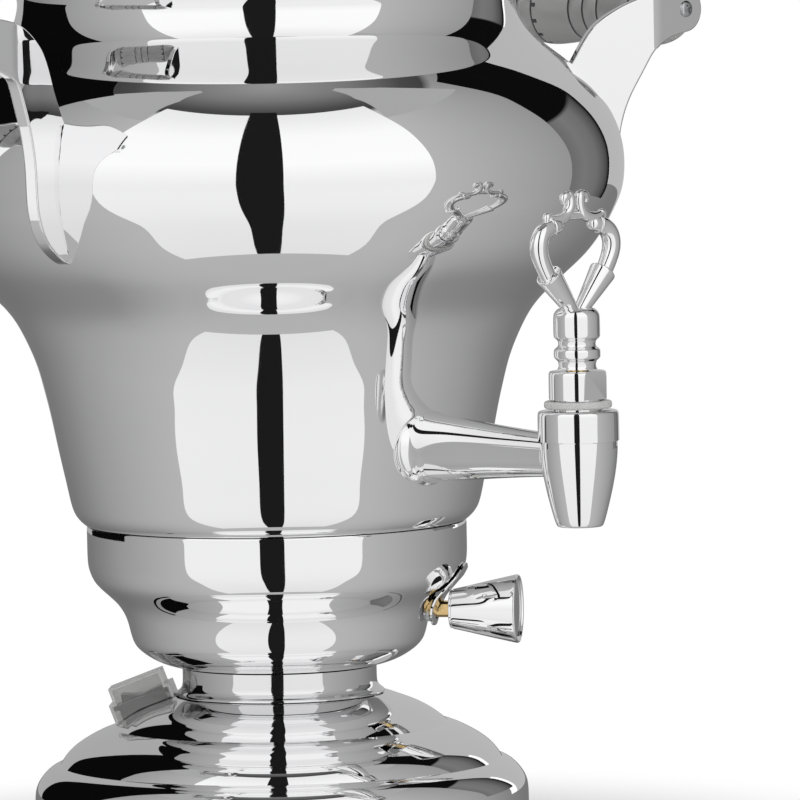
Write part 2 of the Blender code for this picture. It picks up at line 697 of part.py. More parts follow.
# Tap: a pipe on the body, a spout with a turning plug, and the ring-shaped key
def make_tap(body):
    axis = aimed(Vector((0, 0, TAP_HEIGHT)), Vector((0, -1, 0)))
    wall = TAP_REACH - TAP_LENGTH
    inner = wall - BODY_WALL
    flare = [
        (TAP_PIPE_RADIUS + (TAP_FLANGE_RADIUS - TAP_PIPE_RADIUS) * out, wall + TAP_LENGTH * way)
        for out, way in TAP_FLARE_SHARES
    ]
    pipe = turned(
        "tap_pipe", solid_of(flare + [(TAP_FLANGE_RADIUS, inner)]), CHROME, MEDIUM_STEPS, False,
    )
    place(pipe, axis)
    cut(pipe, body_skin)
    tail_start = inner - TAP_TAIL_LENGTH
    tail = cylinder("tap_tail", TAP_TAIL_RADIUS, wall + OVERRUN - tail_start, None, MEDIUM_STEPS)
    join(pipe, place(tail, axis @ Matrix.Translation((0, 0, tail_start))))
    bore = cylinder("tap_bore", TAP_BORE_RADIUS, TAP_REACH - tail_start + OVERRUN, None)
    place(bore, axis @ Matrix.Translation((0, 0, tail_start - OVERRUN)))
    cut(pipe, bore)
    spout_place = Matrix.Translation((0, -TAP_REACH, 0))
    spout_skin = turned("spout_skin", solid_of(widened(spout_outline, GAP)), None, MEDIUM_STEPS, False)
    cut(pipe, place(spout_skin, spout_place))
    depth = TAP_FLANGE_RADIUS + TAP_TAIL_LENGTH
    hole = cylinder("tap_hole", TAP_TAIL_RADIUS + GAP, depth, None, MEDIUM_STEPS)
    cut(body, place(hole, axis @ Matrix.Translation((0, 0, tail_start))))
    make_tap_seal(axis, inner)
    make_spout(spout_place)


def make_tap_seal(axis, inner):
    slope = TAP_SEAL_RADIUS / 2
    start = inner - slope - TAP_SEAL_THICKNESS
    ring = [
        (TAP_SEAL_RADIUS, inner + slope), (TAP_SEAL_RADIUS, start),
        (TAP_TAIL_RADIUS + GAP, start), (TAP_TAIL_RADIUS + GAP, inner + slope),
    ]
    seal = place(turned("tap_seal", ring, RUBBER, MEDIUM_STEPS), axis)
    cut(seal, tank_space, "INTERSECT")
    nut(
        "tap_lock_nut", TAP_NUT_RADIUS, TAP_NUT_HEIGHT, TAP_TAIL_RADIUS, start - GAP - TAP_NUT_HEIGHT,
        axis, BRASS,
    )


def make_spout(spout_place):
    foot = SPOUT_TOP - SPOUT_HEIGHT
    plug_top = SPOUT_TOP - PLUG_TOP_DEPTH
    plug_foot = plug_top - PLUG_LENGTH
    outline = spout_outline + [
        (SPOUT_OUTLET_RADIUS, foot), (SPOUT_OUTLET_RADIUS, plug_foot - GAP),
        (PLUG_TIP_RADIUS + GAP, plug_foot - GAP), (PLUG_RADIUS + GAP, plug_top),
        (PLUG_RADIUS + GAP, SPOUT_TOP),
    ]
    spout = place(turned("tap_spout", outline, CHROME, MEDIUM_STEPS), spout_place)
    port = cylinder("spout_port", TAP_BORE_RADIUS, 2 * SPOUT_RADIUS, None)
    at_port = spout_place @ Matrix.Translation((0, 0, TAP_HEIGHT))
    cut(spout, place(port, at_port @ aimed(Vector(), Vector((0, 1, 0)))))

    washer_foot = SPOUT_TOP + GAP
    bonnet_foot = washer_foot + WASHER_THICKNESS + GAP
    bonnet_top = bonnet_foot + BONNET_HEIGHT
    key_foot = bonnet_top + GAP
    stem_top = key_foot + PLUG_STEM_GRIP
    cavity = TAP_HEIGHT + PLUG_PORT_RADIUS
    plug = turned(
        "tap_plug",
        [
            (0, stem_top), (PLUG_STEM_RADIUS, stem_top), (PLUG_STEM_RADIUS, plug_top - GAP),
            (PLUG_RADIUS, plug_top - GAP), (PLUG_TIP_RADIUS, plug_foot), (PLUG_PORT_RADIUS, plug_foot),
            (PLUG_PORT_RADIUS, cavity), (0, cavity),
        ],
        BRASS, MEDIUM_STEPS, False,
    )
    place(plug, spout_place)
    side_port = cylinder("plug_port", PLUG_PORT_RADIUS, 2 * PLUG_RADIUS, None)
    cut(plug, place(side_port, at_port @ aimed(Vector(), Vector((1, 0, 0)))))
    washer_bore = PLUG_RADIUS + GAP
    washer = [
        (WASHER_RADIUS, washer_foot + WASHER_THICKNESS), (WASHER_RADIUS, washer_foot),
        (washer_bore, washer_foot), (washer_bore, washer_foot + WASHER_THICKNESS),
    ]
    place(turned("tap_washer", washer, WHITE_PLASTIC, MEDIUM_STEPS), spout_place)
    bevel = BONNET_RADIUS - BONNET_FLATS
    bonnet = turned(
        "tap_bonnet",
        [
            (BONNET_RADIUS - bevel / 2, bonnet_top), (BONNET_RADIUS, bonnet_top - bevel / 2),
            (BONNET_RADIUS, bonnet_foot), (PLUG_RADIUS, bonnet_foot), (PLUG_RADIUS, plug_top + GAP),
            (PLUG_STEM_RADIUS + GAP, plug_top + GAP), (PLUG_STEM_RADIUS + GAP, bonnet_top),
        ],
        CHROME, MEDIUM_STEPS,
    )
    place(bonnet, spout_place)
    for index, sign in enumerate((-1, 1)):
        slab = block(f"bonnet_flat_{index + 1}", (3 * BONNET_RADIUS, 2 * bevel, 2 * BONNET_HEIGHT), None)
        shift = Vector((0, sign * (BONNET_FLATS + bevel), bonnet_foot))
        cut(bonnet, place(slab, spout_place @ Matrix.Translation(shift)))
    make_key(spout_place, key_foot)


def make_key(spout_place, foot):
    top = foot + KEY_STEM_HEIGHT
    stem_outline = scaled(KEY_STEM_OUTLINE_SHARES, KEY_STEM_RADIUS, KEY_STEM_HEIGHT, foot)
    socket = PLUG_STEM_RADIUS + GAP
    floor = foot + PLUG_STEM_GRIP + GAP
    key = turned(
        "tap_key", [(0, top), *stem_outline, (socket, foot), (socket, floor), (0, floor)],
        CHROME, SMALL_STEPS, False,
    )
    place(key, spout_place)
    half = KEY_WIDTH / 2
    pieces = []
    for side, sign in (("left", -1), ("right", 1)):
        def spot(share, sign=sign):
            return Vector((sign * half * share[0], 0, KEY_HEIGHT * share[1]))

        tip, rim = (spot(share) for share in KEY_CONE_SHARES)
        length = (rim - tip).length
        cone = cylinder(
            f"key_cone_{side}", KEY_CONE_TIP_RADIUS, length, None, SMALL_STEPS // 2, KEY_CONE_RADIUS,
        )
        place(cone, aimed(tip, rim - tip, Vector((0, 1, 0))))
        ring_line = curve_through([spot(share) for share in KEY_RING_SHARES], KEY_STEPS)
        fleur_line = curve_through([spot(share) for share in KEY_FLEUR_SHARES], KEY_STEPS)
        thin = KEY_TUBE_RADIUS * KEY_FLEUR_THICKNESS_SHARE
        pieces += [
            cone,
            tube(f"key_ring_{side}", ring_line, KEY_TUBE_RADIUS, None, TUBE_SIDES),
            tube(f"key_fleur_{side}", fleur_line, thin, None, TUBE_SIDES),
        ]
    for piece in pieces:
        join(key, place(piece, spout_place @ Matrix.Translation((0, 0, top)) @ piece.matrix_world))


# Thermostat in the bowl, with its shaft, escutcheon and knob
def make_control(bowl):
    out = outward(CONTROL_ANGLE)
    axis = aimed(Vector((0, 0, CONTROL_HEIGHT)), out)
    wall = at_height(bowl_outline, CONTROL_HEIGHT)
    face = wall - THERMOSTAT_SETBACK
    shaft_foot = face - CONTROL_SHAFT_DEPTH
    bore = CONTROL_SHAFT_RADIUS + GAP
    housing = turned(
        "thermostat",
        [
            (0, shaft_foot - GAP), (bore, shaft_foot - GAP), (bore, wall), (THERMOSTAT_NECK_RADIUS, wall),
            (THERMOSTAT_NECK_RADIUS, face), (THERMOSTAT_RADIUS, face),
            (THERMOSTAT_RADIUS, face - THERMOSTAT_LENGTH), (0, face - THERMOSTAT_LENGTH),
        ],
        STEEL, SMALL_STEPS, False,
    )
    place(housing, axis)
    knob_foot = wall + KNOB_STANDOFF
    knob_top = knob_foot + KNOB_LENGTH
    shaft_top = knob_foot + KNOB_BORE_DEPTH - GAP
    shaft = cylinder("control_shaft", CONTROL_SHAFT_RADIUS, shaft_top - shaft_foot, BRASS)
    place(shaft, axis @ Matrix.Translation((0, 0, shaft_foot)))
    rim = KNOB_DISH
    knob = turned(
        "control_knob",
        [
            (0, knob_top - rim), (KNOB_RADIUS - rim, knob_top - rim), (KNOB_RADIUS - rim, knob_top),
            (KNOB_RADIUS - rim / 2, knob_top), (KNOB_RADIUS, knob_top - rim / 2),
            (KNOB_TIP_RADIUS, knob_foot + rim / 2), (KNOB_TIP_RADIUS - rim / 2, knob_foot),
            (bore, knob_foot), (bore, knob_foot + KNOB_BORE_DEPTH), (0, knob_foot + KNOB_BORE_DEPTH),
        ],
        CHROME, MEDIUM_STEPS, False,
    )
    place(knob, axis)
    hole = cylinder("control_hole", THERMOSTAT_NECK_RADIUS + GAP, 2 * THERMOSTAT_SETBACK, None)
    place(hole, axis @ Matrix.Translation((0, 0, wall - THERMOSTAT_SETBACK)))
    cut(bowl, hole)
    make_escutcheon(out, place(cylinder("shaft_hole", bore, 2 * wall, None), axis))


def make_escutcheon(out, hole):
    """A round plate bent to the bowl's outline, standing off it at the foot, cut from a strip."""
    middle = CONTROL_HEIGHT + ESCUTCHEON_RISE
    span = ESCUTCHEON_RADIUS + OVERRUN
    line = []
    for step in range(ESCUTCHEON_POINTS + 1):
        down = step / ESCUTCHEON_POINTS
        height = middle + span * (1 - 2 * down)
        line.append((at_height(bowl_outline, height) + ESCUTCHEON_STANDOFF * down, height))
    strip = widened(line, GAP) + widened(line, GAP + ESCUTCHEON_THICKNESS)[::-1]
    across = Vector((0, 0, 1)).cross(out)
    frame = Matrix((out, Vector((0, 0, 1)), -across)).transposed().to_4x4()
    plate = smooth(prism("knob_escutcheon", strip, -span, 2 * span, frame, CHROME))
    lean = out * math.cos(ESCUTCHEON_TILT) - Vector((0, 0, 1)) * math.sin(ESCUTCHEON_TILT)
    disc = cylinder("escutcheon_disc", ESCUTCHEON_RADIUS, 2 * span, None, MEDIUM_STEPS)
    centre = out * at_height(bowl_outline, middle) + Vector((0, 0, middle))
    place(disc, aimed(centre - lean * span, lean))
    cut(cut(plate, disc, "INTERSECT"), hole)


# Switch on the base: housing with bezel, rocker and a clear boot over both
def make_switch(base):
    out = outward(SWITCH_ANGLE)
    height, fall = at_radius(base_outline, SWITCH_PLACE)
    normal = out * math.sin(fall) + Vector((0, 0, math.cos(fall)))
    seat = aimed(out * SWITCH_PLACE + Vector((0, 0, height)), normal, out)
    margin = 2 * SWITCH_BEZEL_MARGIN
    bezel = (SWITCH_WIDTH + margin, SWITCH_LENGTH + margin, SWITCH_BEZEL_HEIGHT)
    top = SWITCH_LIFT + SWITCH_BEZEL_HEIGHT

    def rise(amount):
        return seat @ Matrix.Translation((0, 0, amount))

    housing = place(block("switch_housing", bezel, BLACK_PLASTIC), rise(SWITCH_LIFT))
    stalk = block("switch_stalk", (SWITCH_WIDTH, SWITCH_LENGTH, SWITCH_DEPTH + top), None)
    join(housing, place(stalk, rise(-SWITCH_DEPTH)))
    pocket_size = (
        ROCKER_WIDTH + 2 * GAP, ROCKER_LENGTH + 2 * ROCKER_CLEARANCE, SWITCH_POCKET_DEPTH + OVERRUN,
    )
    pocket = block("switch_pocket", pocket_size, None)
    cut(housing, place(pocket, rise(top - SWITCH_POCKET_DEPTH)))
    hole_size = (SWITCH_WIDTH + 2 * GAP, SWITCH_LENGTH + 2 * GAP, 2 * SWITCH_DEPTH)
    cut(base, place(block("switch_hole", hole_size, None), rise(-SWITCH_DEPTH)))

    half = ROCKER_LENGTH / 2
    crown = ROCKER_CROWN
    keel = SWITCH_POCKET_DEPTH - ROCKER_PIVOT_DEPTH - 2 * ROCKER_CLEARANCE
    side = [
        (-half, crown), (0, crown / 2), (half, crown), (half, -crown / 2),
        (half / 2, -keel), (-half / 2, -keel), (-half, -crown / 2),
    ]
    turn = Matrix((Vector((0, 1, 0)), Vector((0, 0, 1)), Vector((1, 0, 0)))).transposed().to_4x4()
    rocker = prism("switch_rocker", side, -ROCKER_WIDTH / 2, ROCKER_WIDTH, turn, BLACK_PLASTIC)
    pivot = rise(top - ROCKER_PIVOT_DEPTH)
    place(rocker, pivot @ Matrix.Rotation(ROCKER_TILT, 4, "X"))

    wall = BOOT_WALL + GAP
    skirt_size = (bezel[0] + 2 * wall, bezel[1] + 2 * wall, BOOT_SKIRT_DEPTH + top + wall)
    boot = place(block("switch_boot", skirt_size, CLEAR_PLASTIC), rise(-BOOT_SKIRT_DEPTH))
    dome_size = (SWITCH_WIDTH + 2 * BOOT_WALL, SWITCH_LENGTH + 2 * BOOT_WALL, top + wall + BOOT_HEIGHT)
    join(boot, place(block("boot_dome", dome_size, None), seat))
    room_size = (bezel[0] + 2 * GAP, bezel[1] + 2 * GAP, BOOT_SKIRT_DEPTH + OVERRUN + top + GAP)
    room = block("boot_room", room_size, None)
    cut(boot, place(room, rise(-BOOT_SKIRT_DEPTH - OVERRUN)))
    space_size = (SWITCH_WIDTH, SWITCH_LENGTH, top + wall + BOOT_HEIGHT - BOOT_WALL)
    cut(boot, place(block("boot_space", space_size, None), seat))
    cut(boot, base_skin)


# Cord grommet at the rear of the base
def make_grommet(base):
    axis = aimed(Vector((0, 0, GROMMET_HEIGHT)), Vector((0, 1, 0)))
    outer = BASE_RADIUS + GAP + GROMMET_FLANGE
    drop = GROMMET_RADIUS * math.tan(math.pi / LARGE_STEPS)
    inner = BASE_RADIUS - BASE_WALL - drop - GAP - GROMMET_FLANGE
    neck = GROMMET_RADIUS - GROMMET_LIP
    ring = [
        (GROMMET_RADIUS, outer), (GROMMET_RADIUS, BASE_RADIUS + GAP), (neck, BASE_RADIUS + GAP),
        (neck, inner + GROMMET_FLANGE), (GROMMET_RADIUS, inner + GROMMET_FLANGE), (GROMMET_RADIUS, inner),
        (GROMMET_BORE_RADIUS, inner), (GROMMET_BORE_RADIUS, outer),
    ]
    place(turned("cord_grommet", ring, RUBBER, SMALL_STEPS), axis)
    hole = cylinder("grommet_hole", neck + GAP, 2 * GROMMET_RADIUS, None)
    cut(base, place(hole, axis @ Matrix.Translation((0, 0, BASE_RADIUS - GROMMET_RADIUS))))


# Side handles: two horn-shaped arms, a turned grip, a rod through it and two screws
def arm_side():
    reach = HANDLE_REACH - HANDLE_ROOT
    upper, lower = (
        [(HANDLE_ROOT + reach * way, HANDLE_HEIGHT - HANDLE_DROP * down) for way, down in shares]
        for shares in (ARM_UPPER_SHARES, ARM_LOWER_SHARES)
    )
    ear = []
    for step in range(ARM_EAR_POINTS):
        turn = ARM_EAR_START + (ARM_EAR_END - ARM_EAR_START) * step / (ARM_EAR_POINTS - 1)
        across, up = HANDLE_EAR_RADIUS * math.cos(turn), HANDLE_EAR_RADIUS * math.sin(turn)
        ear.append((HANDLE_REACH + across, HANDLE_HEIGHT + up))
    return upper + ear + lower


def arm_plan():
    """The strip an arm fills from above: its middle line, thickened to both sides."""
    run = HANDLE_REACH - HANDLE_EAR_STRAIGHT - HANDLE_ROOT
    spread = HANDLE_EAR_OFFSET - HANDLE_ROOT_OFFSET
    line = [(HANDLE_ROOT + run * way, HANDLE_ROOT_OFFSET + spread * out) for way, out in ARM_PLAN_SHARES]
    line.append((HANDLE_REACH + 2 * HANDLE_EAR_RADIUS, HANDLE_EAR_OFFSET))
    half = HANDLE_ARM_THICKNESS / 2
    return widened(line, half) + inset(line, half)[::-1]


def make_handles():
    face = HANDLE_EAR_OFFSET - HANDLE_ARM_THICKNESS / 2
    grip_length = 2 * (face - GAP)
    for side, sign in (("left", -1), ("right", 1)):
        for end, way in (("front", -1), ("rear", 1)):
            across, along, up = Vector((sign, 0, 0)), Vector((0, way, 0)), Vector((0, 0, 1))
            upright = Matrix((across, up, along)).transposed().to_4x4()
            level = Matrix((across, along, up)).transposed().to_4x4()
            name = f"{side}_{end}"
            arm = prism(f"handle_arm_{name}", arm_side(), 0, 2 * HANDLE_EAR_OFFSET, upright, CHROME)
            strip = prism(
                f"arm_plan_{name}", arm_plan(), HANDLE_HEIGHT - 2 * HANDLE_DROP, 3 * HANDLE_DROP, level,
            )
            cut(cut(arm, strip, "INTERSECT"), body_skin)
            hold = aimed(Vector((sign * HANDLE_REACH, 0, HANDLE_HEIGHT)), Vector((0, way, 0)))
            bore = HANDLE_SCREW_RADIUS + GAP
            hole = cylinder(f"ear_hole_{name}", bore, 2 * HANDLE_ARM_THICKNESS, None, SMALL_STEPS // 2)
            cut(smooth(arm), place(hole, hold @ Matrix.Translation((0, 0, face - HANDLE_ARM_THICKNESS / 2))))
            make_handle_screw(name, hold, face)
        make_grip(side, sign, grip_length)


def make_handle_screw(name, hold, face):
    seat = face + HANDLE_ARM_THICKNESS + GAP
    top = seat + HANDLE_SCREW_HEAD_HEIGHT
    tip = seat - HANDLE_SCREW_LENGTH
    crown = HANDLE_SCREW_HEAD_RADIUS * SCREW_CROWN_SHARE
    outline = [
        (0, top), (crown, top), (HANDLE_SCREW_HEAD_RADIUS, seat + GAP), (HANDLE_SCREW_HEAD_RADIUS, seat),
        (HANDLE_SCREW_RADIUS, seat), (HANDLE_SCREW_RADIUS, tip), (0, tip),
    ]
    place(turned(f"handle_screw_{name}", outline, STEEL, SMALL_STEPS // 2, False), hold)


def make_grip(side, sign, length):
    centre = aimed(Vector((sign * HANDLE_REACH, 0, HANDLE_HEIGHT)), Vector((0, 1, 0)))
    upper = [(GRIP_RADIUS * across, length * along) for across, along in GRIP_OUTLINE_SHARES]
    lower = [(radius, -height) for radius, height in upper[-2::-1]]
    bore = GRIP_ROD_RADIUS + GAP
    ring = upper + lower + [(bore, -length / 2), (bore, length / 2)]
    place(turned(f"handle_grip_{side}", ring, PORCELAIN, SMALL_STEPS), centre)
    rod = cylinder(f"handle_rod_{side}", GRIP_ROD_RADIUS, length, STEEL, SMALL_STEPS)
    place(rod, centre @ Matrix.Translation((0, 0, -length / 2)))
    depth = HANDLE_SCREW_LENGTH
    radius = HANDLE_SCREW_RADIUS + GAP
    for end, way in (("front", -1), ("rear", 1)):
        thread = cylinder(f"rod_thread_{side}_{end}", radius, 2 * depth, None, SMALL_STEPS // 2)
        cut(rod, place(thread, centre @ Matrix.Translation((0, 0, way * length / 2 - depth))))


base_shell = make_base()
make_column()
bowl_shell = make_bowl()
body_shell = make_body()
make_lid()
make_gallery()
make_tap(body_shell)
make_control(bowl_shell)
make_switch(base_shell)
make_grommet(base_shell)
make_handles()
bpy.context.view_layer.update()
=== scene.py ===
# %% [markdown]
# # An electric samovar in mirror-polished metal
# The solid model is loaded first and stays the fixed frame. Each shiny piece is then made again
# with a fine, smooth surface in the same place, because a mirror shows every facet of its mesh.

# %% Load the solid model
import json
import math

import bmesh
import bpy
from mathutils import Matrix, Vector


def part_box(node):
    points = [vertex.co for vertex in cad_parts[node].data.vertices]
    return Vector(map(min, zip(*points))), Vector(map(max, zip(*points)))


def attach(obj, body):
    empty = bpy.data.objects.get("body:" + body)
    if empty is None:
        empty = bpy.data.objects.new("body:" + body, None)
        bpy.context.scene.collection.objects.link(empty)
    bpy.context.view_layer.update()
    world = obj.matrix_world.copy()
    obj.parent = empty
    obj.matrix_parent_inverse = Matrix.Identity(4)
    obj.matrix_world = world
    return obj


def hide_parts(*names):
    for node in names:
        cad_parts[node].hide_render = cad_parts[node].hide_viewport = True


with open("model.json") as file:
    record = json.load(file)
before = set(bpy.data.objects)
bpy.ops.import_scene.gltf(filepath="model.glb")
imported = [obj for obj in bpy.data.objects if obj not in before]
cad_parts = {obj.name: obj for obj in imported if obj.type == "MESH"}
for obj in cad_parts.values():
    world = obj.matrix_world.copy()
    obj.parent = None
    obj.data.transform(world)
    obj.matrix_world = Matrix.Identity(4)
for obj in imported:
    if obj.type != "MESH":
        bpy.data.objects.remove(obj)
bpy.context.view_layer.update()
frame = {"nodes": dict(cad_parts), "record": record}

# %% [markdown]
# ## Lines and turned surfaces
# Nearly every piece here is turned on a lathe or spun from sheet. Such a piece could be made with
# a Screw modifier. Here the rings are laid down in code, so that the inside of a wall can take
# another finish than the outside. The outlines are in millimetres, as (radius, height) points.
# A cubic B-spline rounds an outline: it never overshoots, so the mirror shows no ripples. A point
# that is given twice stays a crisp corner.

# %% Smooth an outline
MM = 0.001
FINE = 160
MEDIUM = 72
SMALL = 40


def smooth_line(points, spans=4):
    """A cubic B-spline along the points; a point given twice in a row stays a corner."""
    knots = []
    for index, point in enumerate(points):
        knots.append(Vector(point))
        if index and points[index - 1] == point:
            knots.append(Vector(point))
    knots = [knots[0], knots[0], *knots, knots[-1], knots[-1]]
    line = []
    for p0, p1, p2, p3 in zip(knots, knots[1:], knots[2:], knots[3:]):
        for step in range(spans):
            t = step / spans
            weights = ((1 - t) ** 3, 3 * t ** 3 - 6 * t * t + 4, -3 * t ** 3 + 3 * t * t + 3 * t + 1, t ** 3)
            spot = sum((p * w for p, w in zip((p0, p1, p2, p3), weights)), p0 * 0) / 6
            if not line or (spot - line[-1]).length > 1e-4:
                line.append(spot)
    if (knots[-1] - line[-1]).length > 1e-4:
        line.append(knots[-1])
    return line


def offset(line, wall):
    """The same line moved to its left by the wall: the inner side of a shell."""
    moved = []
    for index, point in enumerate(line):
        before = line[max(index - 1, 0)]
        after = line[min(index + 1, len(line) - 1)]
        run = (after - before).normalized()
        moved.append(Vector((max(point.x + run.y * wall, 0.0), point.y - run.x * wall)))
    return moved


print("a rounded corner has", len(smooth_line([(10, 10), (10, 5), (5, 0)])), "points")

# %% Turn an outline into a mesh
CREASE = math.radians(32)


def mesh_of(name, points, faces, kinds=None):
    mesh = bpy.data.meshes.new(name)
    mesh.from_pydata(points, [], faces)
    shape = bmesh.new()
    shape.from_mesh(mesh)
    bmesh.ops.recalc_face_normals(shape, faces=shape.faces)
    shape.to_mesh(mesh)
    shape.free()
    if kinds:
        mesh.polygons.foreach_set("material_index", kinds)
    mesh.shade_smooth()
    mesh.set_sharp_from_angle(angle=CREASE)
    return mesh


def turned_mesh(name, outline, steps=FINE, inner=()):
    """Turn a closed outline about Z. inner is the second part of the outline, in another finish."""
    line = [(p[0] * MM, p[1] * MM) for p in [*outline, *inner]]
    points, rings = [], []
    for radius, height in line:
        count = 1 if radius < 1e-7 else steps
        rings.append([len(points) + turn for turn in range(count)])
        for turn in range(count):
            angle = 2 * math.pi * turn / steps
            points.append((radius * math.cos(angle), radius * math.sin(angle), height))
    faces, kinds = [], []
    for index, upper in enumerate(rings):
        lower = rings[(index + 1) % len(rings)]
        if len(upper) == len(lower) == 1:
            continue
        for turn in range(steps):
            here, there = turn, (turn + 1) % steps
            corners = [upper[here % len(upper)], lower[here % len(lower)]]
            corners += [lower[there % len(lower)], upper[there % len(upper)]]
            faces.append(list(dict.fromkeys(corners)))
            kinds.append(1 if inner and index >= len(outline) - 1 else 0)
    return mesh_of(name, points, faces, kinds)


# %% [markdown]
# ## Putting a piece in the scene
# Each piece stands for one or more solids, moves with their group, and takes its finish from the
# list of materials. One helper says all of that, so that no piece is forgotten.

# %% Add a piece
finishes = {}
made = []


def add_piece(name, mesh, look, body, nodes, place=Matrix.Identity(4), lining=None):
    piece = bpy.data.objects.new(name, mesh)
    bpy.context.scene.collection.objects.link(piece)
    piece.matrix_world = place
    mesh.materials.clear()
    mesh.materials.append(finishes[look])
    if lining:
        mesh.materials.append(finishes[lining])
    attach(piece, body)
    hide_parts(*nodes)
    made.append(piece)
    return piece


# %% [markdown]
# ## Finishes
# Polished metal is one colour and a very low roughness. What makes it real is small: a surface
# that is not perfectly even, and a little haze where it was wiped. Both come from one node group
# that each material places with its own values.

# %% A group for wear and unevenness
def new_group(name, inputs, outputs):
    group = bpy.data.node_groups.new(name, "ShaderNodeTree")
    for title, value in inputs:
        socket = group.interface.new_socket(title, in_out="INPUT", socket_type="NodeSocketFloat")
        socket.default_value = value
    for title in outputs:
        group.interface.new_socket(title, in_out="OUTPUT", socket_type="NodeSocketFloat")
    return group, group.nodes.new("NodeGroupInput"), group.nodes.new("NodeGroupOutput")


def link(tree, source, target):
    tree.links.new(source, target)


def add_node(tree, kind, **values):
    node = tree.nodes.new(kind)
    for key, value in values.items():
        if hasattr(node, key):
            setattr(node, key, value)
        else:
            node.inputs[key].default_value = value
    return node


surface, surface_in, surface_out = new_group(
    "surface_wear", [("Haze Low", 0.02), ("Haze High", 0.06), ("Wave Size", 14.0)], ["Roughness", "Height"],
)
where = add_node(surface, "ShaderNodeTexCoord")
haze = add_node(surface, "ShaderNodeTexNoise", Scale=55.0, Detail=4.0, Roughness=0.6)
wave = add_node(surface, "ShaderNodeTexNoise", Detail=1.0, Roughness=0.3)
spread = add_node(surface, "ShaderNodeMapRange")
spread.inputs["From Min"].default_value = 0.4
spread.inputs["From Max"].default_value = 0.75
link(surface, where.outputs["Object"], haze.inputs["Vector"])
link(surface, where.outputs["Object"], wave.inputs["Vector"])
link(surface, surface_in.outputs["Wave Size"], wave.inputs["Scale"])
link(surface, haze.outputs["Fac"], spread.inputs["Value"])
link(surface, surface_in.outputs["Haze Low"], spread.inputs["To Min"])
link(surface, surface_in.outputs["Haze High"], spread.inputs["To Max"])
link(surface, spread.outputs["Result"], surface_out.inputs["Roughness"])
link(surface, wave.outputs["Fac"], surface_out.inputs["Height"])
print("group", surface.name, "gives", [item.name for item in surface.interface.items_tree])

# %% Make a finish
def make_finish(look, colour, metallic, low, high, wave_size=14.0, depth=0.0, strength=0.1):
    material = bpy.data.materials.new(look)
    material.use_nodes = True
    tree = material.node_tree
    shader = tree.nodes["Principled BSDF"]
    shader.inputs["Base Color"].default_value = (*colour, 1.0)
    shader.inputs["Metallic"].default_value = metallic
    wear = add_node(tree, "ShaderNodeGroup")
    wear.node_tree = surface
    wear.inputs["Haze Low"].default_value = low
    wear.inputs["Haze High"].default_value = high
    wear.inputs["Wave Size"].default_value = wave_size
    link(tree, wear.outputs["Roughness"], shader.inputs["Roughness"])
    if depth:
        bump = add_node(tree, "ShaderNodeBump", Strength=strength, Distance=depth)
        link(tree, wear.outputs["Height"], bump.inputs["Height"])
        link(tree, bump.outputs["Normal"], shader.inputs["Normal"])
    finishes[look] = material
    return material, tree, shader


make_finish("chrome", (0.9, 0.9, 0.905), 1.0, 0.012, 0.035, 9.0, 0.0012, 0.08)
make_finish("worn_chrome", (0.8, 0.8, 0.805), 1.0, 0.03, 0.06, 9.0, 0.0012, 0.08)
make_finish("steel", (0.56, 0.57, 0.58), 1.0, 0.18, 0.34, 300.0, 0.0002, 0.15)
make_finish("brass", (0.83, 0.6, 0.28), 1.0, 0.16, 0.3, 220.0, 0.0002, 0.12)
make_finish("rubber", (0.028, 0.028, 0.03), 0.0, 0.55, 0.75, 500.0, 0.0003, 0.2)
make_finish("black_plastic", (0.015, 0.015, 0.017), 0.0, 0.28, 0.42, 600.0, 0.0002, 0.1)
make_finish("white_plastic", (0.78, 0.78, 0.76), 0.0, 0.3, 0.45, 300.0, 0.0001, 0.1)
print("finishes:", sorted(finishes))

# %% [markdown]
# The grips and the lid's knobs are glazed porcelain. Thin dark rings run round each grip, one at
# the middle and one to each side, and a row of short dashes runs round each bulge. They are
# painted on in the material, where a band is the distance along the grip compared with a width.

# %% Porcelain with painted rings
GRIP_LINES = (0.0, 7.4, -7.4)
GRIP_TICKS = (25.5, -25.5)
LINE_HALF = 0.45
TICK_HALF = 1.1


def math_node(tree, operation, *values):
    node = tree.nodes.new("ShaderNodeMath")
    node.operation = operation
    for socket, value in zip(node.inputs, values):
        if isinstance(value, (int, float)):
            socket.default_value = value
        else:
            link(tree, value, socket)
    return node.outputs[0]


def band(tree, along, middle, half):
    away = math_node(tree, "ABSOLUTE", math_node(tree, "SUBTRACT", along, middle * MM))
    return math_node(tree, "LESS_THAN", away, half * MM)


material, tree, porcelain = make_finish("porcelain", (0.7, 0.7, 0.69), 0.0, 0.06, 0.12, 40.0, 0.0003, 0.1)
porcelain.inputs["Coat Weight"].default_value = 0.6
porcelain.inputs["Coat Roughness"].default_value = 0.04

